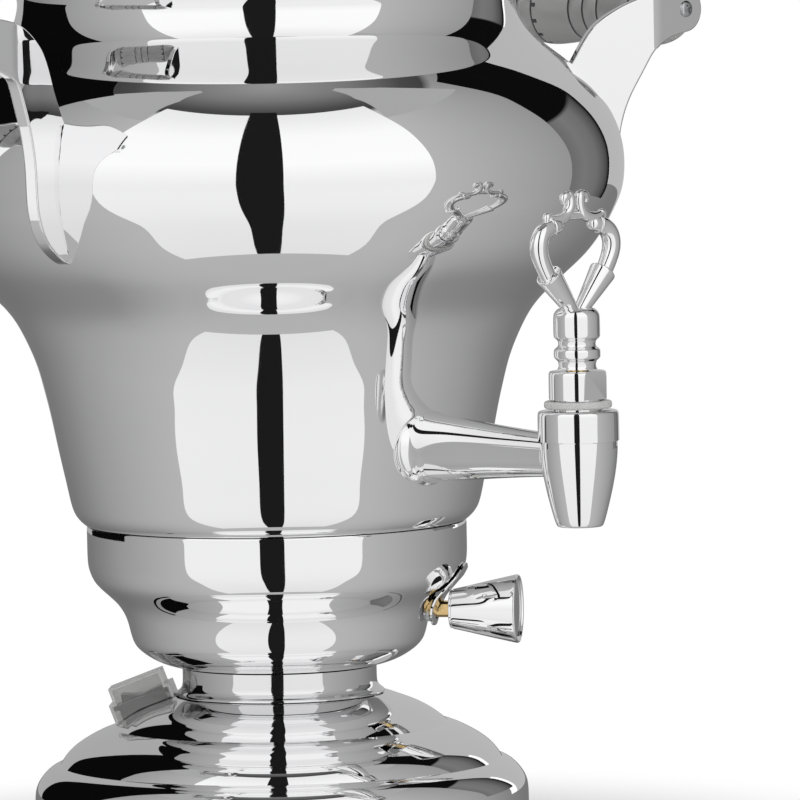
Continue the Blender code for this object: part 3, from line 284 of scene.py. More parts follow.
painted, tree, shader = make_finish("painted_porcelain", (0.7, 0.7, 0.69), 0.0, 0.06, 0.12, 40.0, 0.0003, 0.1)
shader.inputs["Coat Weight"].default_value = 0.6
shader.inputs["Coat Roughness"].default_value = 0.04
where = add_node(tree, "ShaderNodeTexCoord")
parts = add_node(tree, "ShaderNodeSeparateXYZ")
link(tree, where.outputs["Object"], parts.inputs["Vector"])
along = parts.outputs["Z"]
lines = 0.0
for middle in GRIP_LINES:
    lines = math_node(tree, "MAXIMUM", lines, band(tree, along, middle, LINE_HALF))
turn = math_node(tree, "ARCTAN2", parts.outputs["Y"], parts.outputs["X"])
dots = math_node(tree, "GREATER_THAN", math_node(tree, "SINE", math_node(tree, "MULTIPLY", turn, 14.0)), 0.7)
for middle in GRIP_TICKS:
    ticks = math_node(tree, "MULTIPLY", band(tree, along, middle * 0.95, TICK_HALF), dots)
    lines = math_node(tree, "MAXIMUM", lines, ticks)
    lines = math_node(tree, "MAXIMUM", lines, band(tree, along, middle, LINE_HALF))
paint = add_node(tree, "ShaderNodeMix", data_type="RGBA")
link(tree, lines, paint.inputs["Factor"])
paint.inputs["A"].default_value = (0.7, 0.7, 0.69, 1.0)
paint.inputs[6].default_value = (0.7, 0.7, 0.69, 1.0)
paint.inputs[7].default_value = (0.05, 0.05, 0.055, 1.0)
link(tree, paint.outputs[2], shader.inputs["Base Color"])
print("painted rings at", GRIP_LINES, "mm from the middle of a grip")

# %% Clear plastic
material, tree, clear = make_finish("clear_plastic", (0.93, 0.93, 0.92), 0.0, 0.08, 0.16, 90.0, 0.0005, 0.25)
clear.inputs["Transmission Weight"].default_value = 0.85
clear.inputs["IOR"].default_value = 1.42

# %% [markdown]
# ## Base, column and bowl
# The base is a spun dome with two steps, the column a short tube with a flared foot, and the bowl
# a deep cup whose wall curls in above the column. Their outlines run from the top down the
# outside, and the inner side of each wall is the same line moved in by the sheet's thickness.

# %% Base
BASE = [
    (30, 56.7), (38, 56.8), (39.6, 56.5), (45, 54.4), (51.1, 52.2), (56.9, 48.6), (60.5, 45.5),
    (60.5, 45.5), (64.8, 44.3), (70.6, 41.4), (76, 37.8), (78.8, 34.2), (79.9, 32.4), (79.9, 32.4),
    (83.2, 31.3), (86, 28.8), (88.6, 25.2), (89.3, 21.6), (89.3, 18), (89.3, 6), (89.3, 0.4), (89.3, 0.4),
]


def shell(name, outline, wall, look, body, nodes, lining=None, steps=FINE):
    outer = smooth_line(outline)
    inner = offset(outer, wall)[::-1]
    return add_piece(name, turned_mesh(name, outer, steps, inner), look, body, nodes, lining=lining or look)


shell("base_dome", BASE, 1.0, "chrome", "body", ["base_shell"], "steel")
print("base is", round(2 * 89.3, 1), "mm across")

# %% Column
COLUMN = [(35.1, 66.8), (35.1, 64), (35.1, 61), (35.6, 59.3), (36.9, 58.2), (37.9, 57.6), (37.9, 57.0)]
shell("column_tube", COLUMN, 1.2, "worn_chrome", "body", ["column"], "steel")
print("column is", round(2 * 35.1, 1), "mm across")

# %% Bowl
BOWL = [
    (66.5, 124.9), (66.5, 124.9), (66.5, 119.0), (66.5, 119.0), (68.3, 119.0), (68.6, 118.6), (68.6, 116),
    (68.6, 112), (68.6, 107.9), (68.4, 104.4), (67.7, 101.9), (66.2, 98.3), (62.3, 94.7), (58.3, 91.1),
    (55.8, 87.5), (54.4, 83.9), (53.6, 80.3), (52.7, 76.7), (50.8, 73.8), (44.6, 69.5), (38, 67.6),
    (35.1, 67.1), (30.0, 67.1), (30.0, 67.1),
]
shell("bowl_cup", BOWL, 1.0, "chrome", "body", ["bowl_shell"], "steel")
print("bowl is", round(2 * 68.6, 1), "mm across")

# %% [markdown]
# ## Body
# The body is spun from one sheet: a foot that seats on the bowl, a straight flank, a waist, a full
# bulge, a neck and a crown that turns out to the rim. Its inside is satin, because only the
# outside is polished.

# %% Body
BODY = [
    (105.0, 329.0), (106.6, 328.4), (106.9, 326.8), (105.6, 324.6), (101.5, 321.0), (95.5, 317.2),
    (91.3, 313.2), (89.4, 309.0), (89.6, 305.5), (90.7, 301.2), (92.4, 297.7), (94.4, 294.9),
    (97.4, 291.8), (101.5, 288.4), (106.3, 284.9), (111.0, 281.0), (115.5, 276.7), (119.2, 272.0),
    (122.6, 266.8), (125.4, 260.8), (127.3, 254.4), (128.0, 247.6), (127.6, 240.6), (126.5, 236.0),
    (124.9, 232.2), (121.9, 226.3), (118.7, 220.7), (113.6, 214.2), (107.8, 209.0), (101.9, 203.8),
    (96.9, 199.1), (93.5, 194.9), (90.9, 190.5), (87.9, 184.3), (85.0, 177.1), (83.2, 169.9),
    (81.4, 162.7), (79.9, 155.5), (78.5, 148.3), (77.0, 141.1), (75.4, 133.9), (74.0, 126.7),
    (72.7, 123.1), (70.6, 120.6), (68.9, 119.3), (68.9, 119.3),
]
shell("body_wall", BODY, 0.9, "chrome", "body", ["body_shell"], "steel", 224)
body_side = smooth_line(BODY)
print("body is", round(2 * max(p.x for p in body_side), 1), "mm across")


def body_radius(height):
    """The body's outer radius at a height, both in millimetres."""
    return min(body_side, key=lambda p: abs(p.y - height)).x


# %% [markdown]
# ## Lid, knobs and teapot ring
# The photograph stops below the rim, so the lid follows what such samovars have: a domed lid with
# two porcelain knobs, vents for steam and a pierced ring that carries a teapot.

# %% Lid
LID = [
    (0, 353.2), (10, 353.2), (30, 353.2), (45.6, 353.3), (53, 352.7), (63.6, 350.0), (74.2, 345.5),
    (82.7, 340.2), (88, 335.2), (92.2, 331.6), (97.5, 330.4), (104, 330.4), (106, 330.2), (106, 329.5),
    (106, 329.5),
]
vents = []


def cut_mesh(mesh, tools, operation="DIFFERENCE"):
    """Cut a mesh with others, and give back one clean mesh."""
    work = bpy.data.objects.new("work", mesh)
    bpy.context.scene.collection.objects.link(work)
    helpers = []
    for tool in tools:
        helper = bpy.data.objects.new("tool", tool)
        bpy.context.scene.collection.objects.link(helper)
        helpers.append(helper)
        step = work.modifiers.new("cut", "BOOLEAN")
        step.solver = "EXACT"
        step.operation = operation
        step.object = helper
    bpy.context.view_layer.update()
    result = bpy.data.meshes.new_from_object(work.evaluated_get(bpy.context.evaluated_depsgraph_get()))
    for helper in [work, *helpers]:
        bpy.data.objects.remove(helper)
    result.name = mesh.name
    result.shade_smooth()
    result.set_sharp_from_angle(angle=CREASE)
    return result


def rod_mesh(radius, low, high, steps=SMALL):
    return turned_mesh("rod", [(0, high), (radius, high), (radius, low), (0, low)], steps)


lid_line = smooth_line(LID)
lid_mesh = turned_mesh("lid_dome", lid_line, FINE, offset(lid_line, 0.9)[::-1])
for index in range(4):
    angle = math.pi / 2 * (index + 0.5)
    vent = rod_mesh(2.2, 340, 360)
    vent.transform(Matrix.Translation((0.018 * math.sin(angle), -0.018 * math.cos(angle), 0)))
    vents.append(vent)
lid_mesh = cut_mesh(lid_mesh, vents)
add_piece("lid_dome", lid_mesh, "chrome", "lid", ["lid_shell"], lining="steel")
print("lid has", len(vents), "vents")

# %% Lid knobs
LID_KNOB = [
    (0, 21), (2.5, 20.9), (5.2, 19.8), (7.6, 17.4), (8.5, 13.6), (7.4, 9.6), (5.0, 7.2), (3.7, 5.6),
    (3.8, 4.2), (5.0, 2.8), (6.6, 1.6), (7.0, 0.6), (6.9, 0.05), (6.9, 0.05), (0, 0.05),
]
for side, sign in (("left", -1), ("right", 1)):
    low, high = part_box(f"lid_knob_{side}")
    fall = math.atan2(4.5, 10.6)
    seat = Vector((sign * 66.0, 0, 349.25)) * MM
    place = Matrix.Translation(seat) @ Matrix.Rotation(sign * fall, 4, "Y")
    outline = smooth_line(LID_KNOB, 3)
    for point in outline:
        point.y += 0.68
    add_piece(f"lid_ball_{side}", turned_mesh("ball", outline, SMALL), "porcelain", "lid", [f"lid_knob_{side}"], place)
    print("knob", side, "stands between", round(low.z, 4), "and", round(high.z, 4))

# %% Teapot ring
GALLERY = [
    (43, 377.6), (44.2, 377.3), (44.6, 376.3), (44.2, 375.3), (43, 374.4), (40.4, 372.4), (39.2, 369),
    (38.6, 365.7), (39, 361), (40.2, 358), (42.4, 355.4), (43, 354.6), (43, 353.8), (43, 353.8),
]
ring_line = smooth_line(GALLERY)
ring_mesh = turned_mesh("teapot_ring", ring_line, FINE, [Vector((p.x - 1.6, p.y)) for p in ring_line[::-1]])
slots = []
for index in range(4):
    angle = math.pi * (2 * index + 1) / 8
    arch = [(6.5, 357.2), (6.5, 365.7)]
    arch += [(6.5 * math.cos(math.pi * s / 16), 365.7 + 5.2 * math.sin(math.pi * s / 16)) for s in range(1, 16)]
    arch += [(-6.5, 365.7), (-6.5, 357.2)]
    points = [(u * MM, side * 0.09, v * MM) for side in (-1, 1) for u, v in arch]
    count = len(arch)
    faces = [list(range(count)), list(range(count, 2 * count))]
    faces += [[k, (k + 1) % count, (k + 1) % count + count, k + count] for k in range(count)]
    slot_mesh = mesh_of("slot", points, faces)
    slot_mesh.transform(Matrix.Rotation(angle, 4, "Z"))
    slots.append(slot_mesh)
ring_mesh = cut_mesh(ring_mesh, slots)
add_piece("teapot_ring", ring_mesh, "chrome", "lid", ["teapot_gallery"])
print("teapot ring has", 2 * len(slots), "arches")

# %% [markdown]
# ## Tap
# The tap is a soft-edged flange that draws in to a tapering pipe, a spout that hangs across its
# end, a pale sealing washer, a bonnet with two flats for a spanner and the key that turns the
# plug. The pipe lies along the tap's own axis, so it is turned upright and then laid down.

# %% Pipe
PIPE = [
    (0, 62.0), (7.5, 62.0), (7.5, 62.0), (7.5, 75.5), (7.5, 75.5), (13.6, 76.5), (14.0, 78.6),
    (13.6, 80.2), (12.6, 81.5), (12.1, 83.6), (11.8, 86.5), (11.4, 92), (10.9, 98), (10.2, 106), (9.5, 114),
    (8.9, 122), (8.3, 130), (7.8, 138), (7.6, 143.0), (7.6, 143.0), (4.0, 143.0), (4.0, 143.0), (0, 143.0),
]
TAP_HEIGHT = 149.3
TAP_REACH = 155.0
laid = Matrix.Translation((0, 0, TAP_HEIGHT * MM)) @ Matrix.Rotation(math.pi / 2, 4, "X")
pipe_line = smooth_line(PIPE)[::-1]
pipe_mesh = turned_mesh("tap_pipe_fine", pipe_line, MEDIUM)
add_piece("tap_tube", pipe_mesh, "chrome", "body", ["tap_pipe"], laid)
print("pipe is", round(pipe_line[0].y - 62, 1), "mm long")

# %% Spout
SPOUT = [
    (8.5, 165.6), (8.5, 165.6), (12.6, 165.7), (13.8, 165.4), (14.2, 164.6), (14.2, 162), (14.2, 155.6),
    (14.2, 155.0), (14.2, 155.0), (13.55, 154.7), (13.55, 154.7), (13.6, 152), (13.3, 148), (12.6, 143.0),
    (11.6, 138.0), (10.3, 132.6), (8.9, 127.4), (8.2, 125.4), (7.6, 124.9), (7.0, 124.9), (4.6, 124.9),
    (4.6, 124.9), (4.5, 138.4), (4.5, 138.4), (7.1, 138.5), (7.1, 138.5), (8.5, 160.3), (8.5, 160.3),
]
tap_place = Matrix.Translation((0, -TAP_REACH * MM, 0))
spout_mesh = turned_mesh("tap_spout_fine", smooth_line(SPOUT), 96)
add_piece("tap_nozzle", spout_mesh, "chrome", "body", ["tap_spout"], tap_place)
print("spout is", round(165.7 - 124.9, 1), "mm high")

# %% Washer and bonnet
WASHER = [
    (8.6, 168.9), (8.6, 168.9), (11.3, 169.0), (11.9, 168.5), (11.9, 166.8), (11.5, 166.2), (8.6, 166.2), (8.6, 166.2),
]
BONNET = [
    (4.2, 179.5), (4.2, 179.5), (9.0, 179.5), (9.8, 179.2), (10.1, 178.5), (10.1, 176), (10.1, 171),
    (10.1, 169.5), (10.1, 169.5), (8.2, 169.5), (8.2, 169.5), (8.2, 160.7), (8.2, 160.7), (4.2, 160.7), (4.2, 160.7),
]
add_piece("tap_seal_ring", turned_mesh("washer", smooth_line(WASHER), 96), "white_plastic", "body", ["tap_washer"], tap_place)
bonnet_mesh = turned_mesh("bonnet", smooth_line(BONNET), 96)
flats = []
for sign in (-1, 1):
    slab = bmesh.new()
    bmesh.ops.create_cube(slab, size=1.0)
    flat = bpy.data.meshes.new("flat")
    slab.to_mesh(flat)
    slab.free()
    tilt = Matrix.Rotation(sign * math.radians(-1.5), 4, "X")
    flat.transform(Matrix.Translation((0, sign * 13.6 * MM, 174.5 * MM)) @ tilt @ Matrix.Diagonal((0.04, 0.01, 0.012, 1)))
    flats.append(flat)
bonnet_mesh = cut_mesh(bonnet_mesh, flats)
add_piece("tap_cap", bonnet_mesh, "chrome", "body", ["tap_bonnet"], tap_place)
print("flats are", 2 * 8.6, "mm apart")

# %% [markdown]
# ## Key
# The key is a grooved stem with a ring on top: two cones open upward like flowers, a round bar
# curls out of each and bends in again, and two short leaves stand side by side above them. Curves
# with a bevel make round bars that can swell and thin along their length.

# %% Key
KEY_STEM = [
    (0, 201.3), (5.2, 201.3), (6.4, 201.1), (7.3, 200.3), (7.9, 199.3), (8.15, 198.2), (8.15, 194),
    (8.15, 191.6), (7.9, 190.9), (7.0, 190.3), (6.6, 189.7), (6.5, 188.8), (6.6, 188.1), (7.1, 187.5),
    (7.9, 187.0), (8.15, 186.4), (8.15, 185.2), (8.15, 184.3), (7.8, 183.6), (6.9, 183.0), (6.6, 182.3),
    (6.5, 181.4), (6.6, 180.6), (6.9, 180.2), (6.9, 179.9), (6.9, 179.9), (4.1, 179.9), (4.1, 179.9),
    (4.1, 192.2), (4.1, 192.2), (0, 192.2),
]
KEY_BASE = 201.3
KEY_HALF = 20.6
KEY_TALL = 40.7
KEY_RING = [
    (0.62, 0.25, 2.9), (0.69, 0.31, 3.0), (0.80, 0.40, 3.1), (0.88, 0.50, 3.3), (0.86, 0.60, 3.3),
    (0.76, 0.665, 3.2), (0.62, 0.70, 3.1), (0.50, 0.71, 2.9), (0.46, 0.71, 2.8),
]
KEY_COLLAR = [(0.62, 0.70, 2.4), (0.585, 0.704, 3.5), (0.54, 0.708, 3.5), (0.52, 0.709, 2.4)]
KEY_LEAF = [
    (0.66, 0.80, 1.3), (0.60, 0.775, 1.8), (0.50, 0.76, 2.0), (0.36, 0.765, 2.1), (0.22, 0.79, 2.1),
    (0.13, 0.84, 2.1), (0.10, 0.90, 2.1), (0.11, 0.945, 2.1), (0.14, 0.965, 1.9),
]
KEY_CURL = [(0.12, 0.95, 1.8), (0.20, 0.965, 1.9), (0.27, 0.945, 1.7), (0.26, 0.915, 1.2)]
KEY_TIP = [(0.64, 0.80, 1.5), (0.68, 0.785, 1.6), (0.665, 0.755, 1.2)]
KEY_BRIDGE = [(-0.16, 0.79, 1.5), (-0.06, 0.79, 1.5), (0.06, 0.79, 1.5), (0.16, 0.79, 1.5)]


def bar_mesh(name, points, resolution=5, spans=5):
    """A round bar along (x, y, z, radius) points in millimetres, with domed ends."""
    line = smooth_line(points, spans)
    curve = bpy.data.curves.new(name, "CURVE")
    curve.dimensions = "3D"
    curve.bevel_depth = 1.0
    curve.bevel_resolution = resolution
    curve.use_fill_caps = True
    run = curve.splines.new("POLY")
    first, last = line[0], line[-1]
    ends = []
    for end, other in ((first, line[1]), (last, line[-2])):
        out = (end.xyz - other.xyz).normalized()
        dome = [(math.cos(a), math.sin(a)) for a in (math.pi * k / 10 for k in (1, 2, 3, 4))]
        ends.append([(*(end.xyz + out * end.w * rise), end.w * across) for across, rise in dome])
    line = [*ends[0][::-1], *line, *ends[1]]
    run.points.add(len(line) - 1)
    for target, point in zip(run.points, line):
        target.co = (point[0] * MM, point[1] * MM, point[2] * MM, 1.0)
        target.radius = point[3] * MM
    carrier = bpy.data.objects.new(name, curve)
    bpy.context.scene.collection.objects.link(carrier)
    bpy.context.view_layer.update()
    mesh = bpy.data.meshes.new_from_object(carrier.evaluated_get(bpy.context.evaluated_depsgraph_get()))
    bpy.data.objects.remove(carrier)
    shape = bmesh.new()
    shape.from_mesh(mesh)
    bmesh.ops.remove_doubles(shape, verts=shape.verts, dist=1e-6)
    bmesh.ops.recalc_face_normals(shape, faces=shape.faces)
    shape.to_mesh(mesh)
    shape.free()
    mesh.shade_smooth()
    return mesh


def joined(name, meshes):
    shape = bmesh.new()
    for mesh in meshes:
        shape.from_mesh(mesh)
    whole = bpy.data.meshes.new(name)
    shape.to_mesh(whole)
    shape.free()
    whole.shade_smooth()
    whole.set_sharp_from_angle(angle=CREASE)
    return whole


def key_line(shares, sign=1):
    return [(sign * KEY_HALF * x, 0.0, KEY_BASE + KEY_TALL * z, radius) for x, z, radius in shares]


KEY_CONE = [
    (0, 17.4), (3.0, 17.3), (3.9, 17.8), (4.4, 18.0), (4.75, 17.8), (4.75, 17.2), (4.6, 16.4), (3.9, 11),
    (3.1, 5), (2.6, 1.2), (2.4, 0), (2.4, 0), (0, 0),
]
key_parts = [turned_mesh("stem", smooth_line(KEY_STEM), MEDIUM)]
for sign in (-1, 1):
    for shares in (KEY_RING, KEY_COLLAR, KEY_LEAF, KEY_CURL, KEY_TIP):
        key_parts.append(bar_mesh("bar", key_line(shares, sign)))
    start = Vector((sign * 1.7, 0, KEY_BASE - 1.4)) * MM
    mouth = Vector((sign * KEY_HALF * 0.655, 0, KEY_BASE + KEY_TALL * 0.3)) * MM
    cone = turned_mesh("cone", smooth_line(KEY_CONE), SMALL)
    aim = (mouth - start).to_track_quat("Z", "Y").to_matrix().to_4x4()
    cone.transform(Matrix.Translation(start) @ aim)
    key_parts.append(cone)
key_parts.append(bar_mesh("bridge", key_line(KEY_BRIDGE)))
add_piece("tap_handle", joined("tap_key_fine", key_parts), "chrome", "key", ["tap_key"], tap_place)
print("key has", len(key_parts), "forms in one casting")

# %% [markdown]
# ## Thermostat knob and its plate
# The knob is a cone that widens outward, with a thin rim round a flat face. Behind it a round
# plate bends with the bowl's wall, and a brass shaft joins the two.

# %% Knob
CONTROL_ANGLE = math.radians(37)
CONTROL_HEIGHT = 87.0
control_out = Vector((math.sin(CONTROL_ANGLE), -math.cos(CONTROL_ANGLE), 0))
side_axis = Vector((0, 0, 1)).cross(control_out)
control_frame = Matrix((side_axis, Vector((0, 0, 1)), control_out)).transposed().to_4x4()
control_place = Matrix.Translation((0, 0, CONTROL_HEIGHT * MM)) @ control_frame
KNOB_FOOT = 62.9
KNOB = [
    (0, 24.5), (9.0, 24.3), (10.9, 24.1), (11.3, 24.2), (11.4, 24.8), (11.7, 25.05), (12.1, 25.05), (12.35, 24.7),
    (12.35, 24.1), (12.1, 23), (11.2, 19), (10.0, 13.5), (8.7, 8), (7.7, 3.6), (7.3, 1.6), (7.2, 1.2),
    (7.2, 1.2), (6.9, 1.1), (6.9, 0.3), (6.7, 0.0), (3.4, 0.0), (3.4, 0.0), (3.3, 15.9), (3.3, 15.9), (0, 15.9),
]
low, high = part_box("control_knob")
print("knob solid spans", [round(value, 4) for value in (*low, *high)])
knob_line = [Vector((p.x, p.y + KNOB_FOOT)) for p in smooth_line(KNOB)]
add_piece("heat_knob", turned_mesh("heat_knob", knob_line, 96), "chrome", "knob", ["control_knob"], control_place)

# %% Plate behind the knob
PLATE = 12.5
PLATE_MIDDLE = 92.4
PLATE_SIDE = [
    (80.0, 57.0), (84.0, 57.6), (88.0, 58.7), (91.5, 60.5), (95.0, 63.6), (98.5, 66.8), (101.5, 68.5), (106.0, 69.2),
]


def blend(value, table):
    """The value of a table of (position, amount) pairs at a position, in straight steps."""
    for (low, first), (high, second) in zip(table, table[1:]):
        if value <= high:
            way = max(0.0, (value - low) / (high - low))
            return first + (second - first) * way
    return table[-1][1]


def plate_mesh(rows=16, turns=64):
    """A thin disc with an off-centre hole, bent like the bowl's wall."""
    layers = [*[(1.0, row) for row in range(rows)], (0.8, rows), (0.2, rows)]
    points = []
    for depth, row in [*layers, *[(0.0, row) for row in range(rows - 1, -1, -1)]]:
        way = row / rows
        for turn in range(turns):
            angle = 2 * math.pi * turn / turns
            across = (3.9 + (PLATE - 3.9) * way) * math.cos(angle)
            rise = (3.9 + (PLATE * 0.9 - 3.9) * way) * math.sin(angle)
            height = CONTROL_HEIGHT + (PLATE_MIDDLE - CONTROL_HEIGHT) * way + rise
            out = math.sqrt(blend(height, PLATE_SIDE) ** 2 - 0.7 * across ** 2) - 0.6 + depth
            points.append((control_out * out + side_axis * across + Vector((0, 0, height))) * MM)
    count = len(points) // turns
    faces = []
    for row in range(count):
        for turn in range(turns):
            a, b = row * turns, (row + 1) % count * turns
            faces.append([a + turn, a + (turn + 1) % turns, b + (turn + 1) % turns, b + turn])
    return mesh_of("plate", points, faces)


add_piece("heat_plate", plate_mesh(), "chrome", "body", ["knob_escutcheon"])
print("plate is", 2 * PLATE, "mm across")

# %% [markdown]
# ## Handles
# Each handle has two arms like horns, cut from thick plate and bent outward, and a turned
# porcelain grip between their ears. An arm is its side outline, thickened, cut into a grid and bent
# to follow a strip seen from above, and what lies inside the body is pressed to its wall. A bevel
# rounds the edges, because a mirror finish shows an edge as a bright line.

# %% Arm outline
ROOT = 117.8
EAR = Vector((172.6, 298.5))
EAR_RADIUS = 8.6
REACH = EAR.x - ROOT
DROP = 81.0
ARM_TOP = [
    (0.0, 0.4), (0.1, 0.32), (0.184, 0.234), (0.212, 0.2), (0.257, 0.139), (0.316, 0.075), (0.376, 0.034),
    (0.487, -0.015), (0.6, -0.052), (0.74, -0.085), (0.874, -0.102),
]
ARM_UNDER = [
    (0.885, 0.118), (0.79, 0.145), (0.733, 0.17), (0.694, 0.212), (0.648, 0.275), (0.59, 0.347),
    (0.542, 0.418), (0.507, 0.498), (0.49, 0.57), (0.486, 0.65), (0.475, 0.74), (0.4, 0.84), (0.29, 0.905),
    (0.15, 0.955), (0.0, 0.988),
]
ARM_PLAN = [
    (112.4, 17.8), (117.8, 20.0), (124.9, 24.1), (134.6, 28.9), (143.4, 33.2), (151.5, 37.4), (156.6, 39.8),
    (158.1, 40.2), (158.1, 40.2),
]
EAR_OFFSET = 40.2
ARM_THICK = 4.5


def arm_outline():
    top = [(ROOT + REACH * x, EAR.y - DROP * z) for x, z in ARM_TOP]
    under = [(ROOT + REACH * x, EAR.y - DROP * z) for x, z in ARM_UNDER]
    turns = [math.radians(95 - 175 * k / 14) for k in range(15)]
    ear = [(EAR.x + EAR_RADIUS * math.cos(a), EAR.y + EAR_RADIUS * math.sin(a)) for a in turns]
    root = [(ROOT - 5.5, EAR.y - DROP * 0.99), (ROOT - 5.5, EAR.y - DROP * 0.43)]
    return smooth_line([*top, *ear, *under, *root], 3)[:-1]


EDGE = 0.7
plan = smooth_line(ARM_PLAN, 6)
plan.append(Vector((EAR.x + 3 * EAR_RADIUS, EAR_OFFSET)))


def plan_spot(x):
    """Where the bent plate's middle runs at x seen from above, and its square direction there."""
    for a, b in zip(plan, plan[1:]):
        if x <= b.x:
            run = (b - a).normalized()
            return Vector((x, a.y + (b.y - a.y) * (x - a.x) / (b.x - a.x))), Vector((-run.y, run.x))
    return plan[-1], Vector((0, 1))


def inside_line(line, inset):
    """A closed line moved inward by the inset."""
    moved = []
    for index, point in enumerate(line):
        run = (line[(index + 1) % len(line)] - line[index - 1]).normalized()
        moved.append(Vector((point.x + run.y * inset, point.y - run.x * inset)))
    return moved


def arm_mesh(sign, way):
    """The side outline as a flat plate with rounded edges, cut into a grid and bent to the plan."""
    outline = arm_outline()
    half, count = ARM_THICK / 2, len(outline)
    steps = [math.radians(a) for a in (90, 60, 30, 0)]
    layers = [(half - EDGE * (1 - math.sin(a)), EDGE * (1 - math.cos(a))) for a in steps]
    layers += [(-depth, inset) for depth, inset in layers[::-1]]
    shape = bmesh.new()
    rings = [[shape.verts.new((p.x, depth, p.y)) for p in inside_line(outline, inset)] for depth, inset in layers]
    shape.faces.new(rings[0])
    shape.faces.new(rings[-1][::-1])
    for one, two in zip(rings, rings[1:]):
        for k in range(count):
            shape.faces.new((one[k], one[(k + 1) % count], two[(k + 1) % count], two[k]))
    cuts = [((110 + 2 * k, 0, 0), (1, 0, 0)) for k in range(40)] + [((0, 0, 214 + 4 * k), (0, 0, 1)) for k in range(24)]
    for spot, across in cuts:
        everything = [*shape.verts, *shape.edges, *shape.faces]
        bmesh.ops.bisect_plane(shape, geom=everything, dist=1e-4, plane_co=spot, plane_no=across)
    bmesh.ops.recalc_face_normals(shape, faces=shape.faces)
    shape.normal_update()
    shape.verts.index_update()
    return bend(shape, sign, way)


def bend(shape, sign, way):
    """Bend the flat plate to the plan, press what lies inside the body to its wall, set the normals."""
    half = ARM_THICK / 2
    shape.verts.ensure_lookup_table()
    rims = [Vector() for _ in shape.verts]
    for face in shape.faces:
        if abs(face.normal.y) < 0.98:
            for vert in face.verts:
                rims[vert.index] += Vector((face.normal.x, 0, face.normal.z)).normalized()
    normals = []
    for vert in shape.verts:
        x, depth, z = vert.co
        spot, square = plan_spot(x)
        spot = spot + square * depth
        reach = spot.length
        wall = body_radius(z) - 0.45
        if reach < wall:
            spot = spot * (wall / reach)
        lift = min(1.0, max(0.0, (abs(depth) - half + EDGE) / EDGE))
        level = math.sqrt(1 - lift * lift)
        rim = rims[vert.index].normalized() if rims[vert.index].length else Vector()
        up = Vector((square.x, square.y, 0)) * math.copysign(lift, depth)
        along = Vector((square.y * rim.x, -square.x * rim.x, rim.z)) * level
        normal = (up + along).normalized() if (up + along).length else Vector((0, 0, 1))
        vert.co = Vector((sign * spot.x, way * spot.y, z)) * MM
        normals.append((sign * normal.x, way * normal.y, normal.z))
    if sign * way < 0:
        bmesh.ops.reverse_faces(shape, faces=shape.faces)
    mesh = bpy.data.meshes.new("arm")
    shape.to_mesh(mesh)
    shape.free()
    mesh.shade_smooth()
    mesh.normals_split_custom_set_from_vertices(normals)
    return mesh


for side, sign in (("left", -1), ("right", 1)):
    for end, way in (("front", -1), ("rear", 1)):
        arm = arm_mesh(sign, way)
        add_piece(f"horn_{side}_{end}", arm, "chrome", "body", [f"handle_arm_{side}_{end}"])
print("each arm has", len(arm.polygons), "faces")

# %% Grips
GRIP = [
    (3.2, 37.5), (3.2, 37.5), (8.0, 37.5), (9.2, 37.1), (11.2, 35.4), (12.7, 32.4), (13.6, 28.4), (13.8, 24),
    (13.3, 18), (12.6, 12), (12.3, 8.6), (11.9, 7.8), (11.85, 7.0), (12.2, 6.2), (12.3, 3.0), (12.0, 0.8),
    (11.85, 0.0),
]
grip_half = smooth_line(GRIP, 3)
grip_line = grip_half + [Vector((p.x, -p.y)) for p in grip_half[-2::-1]]
for side, sign in (("left", -1), ("right", 1)):
    place = Matrix.Translation((sign * EAR.x * MM, 0, EAR.y * MM)) @ Matrix.Rotation(-math.pi / 2, 4, "X")
    add_piece(f"grip_{side}", turned_mesh("grip", grip_line, 80), "painted_porcelain", "body", [f"handle_grip_{side}"], place)
print("grips are", 2 * 37.5, "mm long")

# %% Handle screws
SCREW = [(0, 1.35), (1.6, 1.3), (2.5, 1.0), (3.0, 0.45), (3.1, 0.05), (3.1, 0.05), (1.6, 0.05), (1.6, 0.05), (1.6, -8.7), (1.6, -8.7), (0, -8.7)]
SEAT = EAR_OFFSET + ARM_THICK / 2


def screw_mesh():
    head = turned_mesh("screw", smooth_line(SCREW, 3), SMALL)
    bars = []
    for turn in (0, math.pi / 2):
        slab = bmesh.new()
        bmesh.ops.create_cube(slab, size=1.0)
        slot_bar = bpy.data.meshes.new("slot")
        slab.to_mesh(slot_bar)
        slab.free()
        slot_bar.transform(Matrix.Rotation(turn + 0.4, 4, "Z") @ Matrix.Translation((0, 0, 1.5 * MM)) @ Matrix.Diagonal((3.4 * MM, 0.8 * MM, 2.2 * MM, 1)))
        bars.append(slot_bar)
    return cut_mesh(head, bars)


for side, sign in (("left", -1), ("right", 1)):
    for end, way in (("front", -1), ("rear", 1)):
        turn = Matrix.Rotation(-way * math.pi / 2, 4, "X")
        place = Matrix.Translation((sign * EAR.x * MM, way * SEAT * MM, EAR.y * MM)) @ turn
        add_piece(f"ear_screw_{side}_{end}", screw_mesh(), "steel", "body", [f"handle_screw_{side}_{end}"], place)
print("screws with a cross slot:", 4)

# %% [markdown]
# ## Switch under its boot
# A rocker switch sits in the slope of the base beside the column. A soft clear boot covers it
# against splashes. It is a rounded hollow box, so it is made from a block with its edges bevelled.

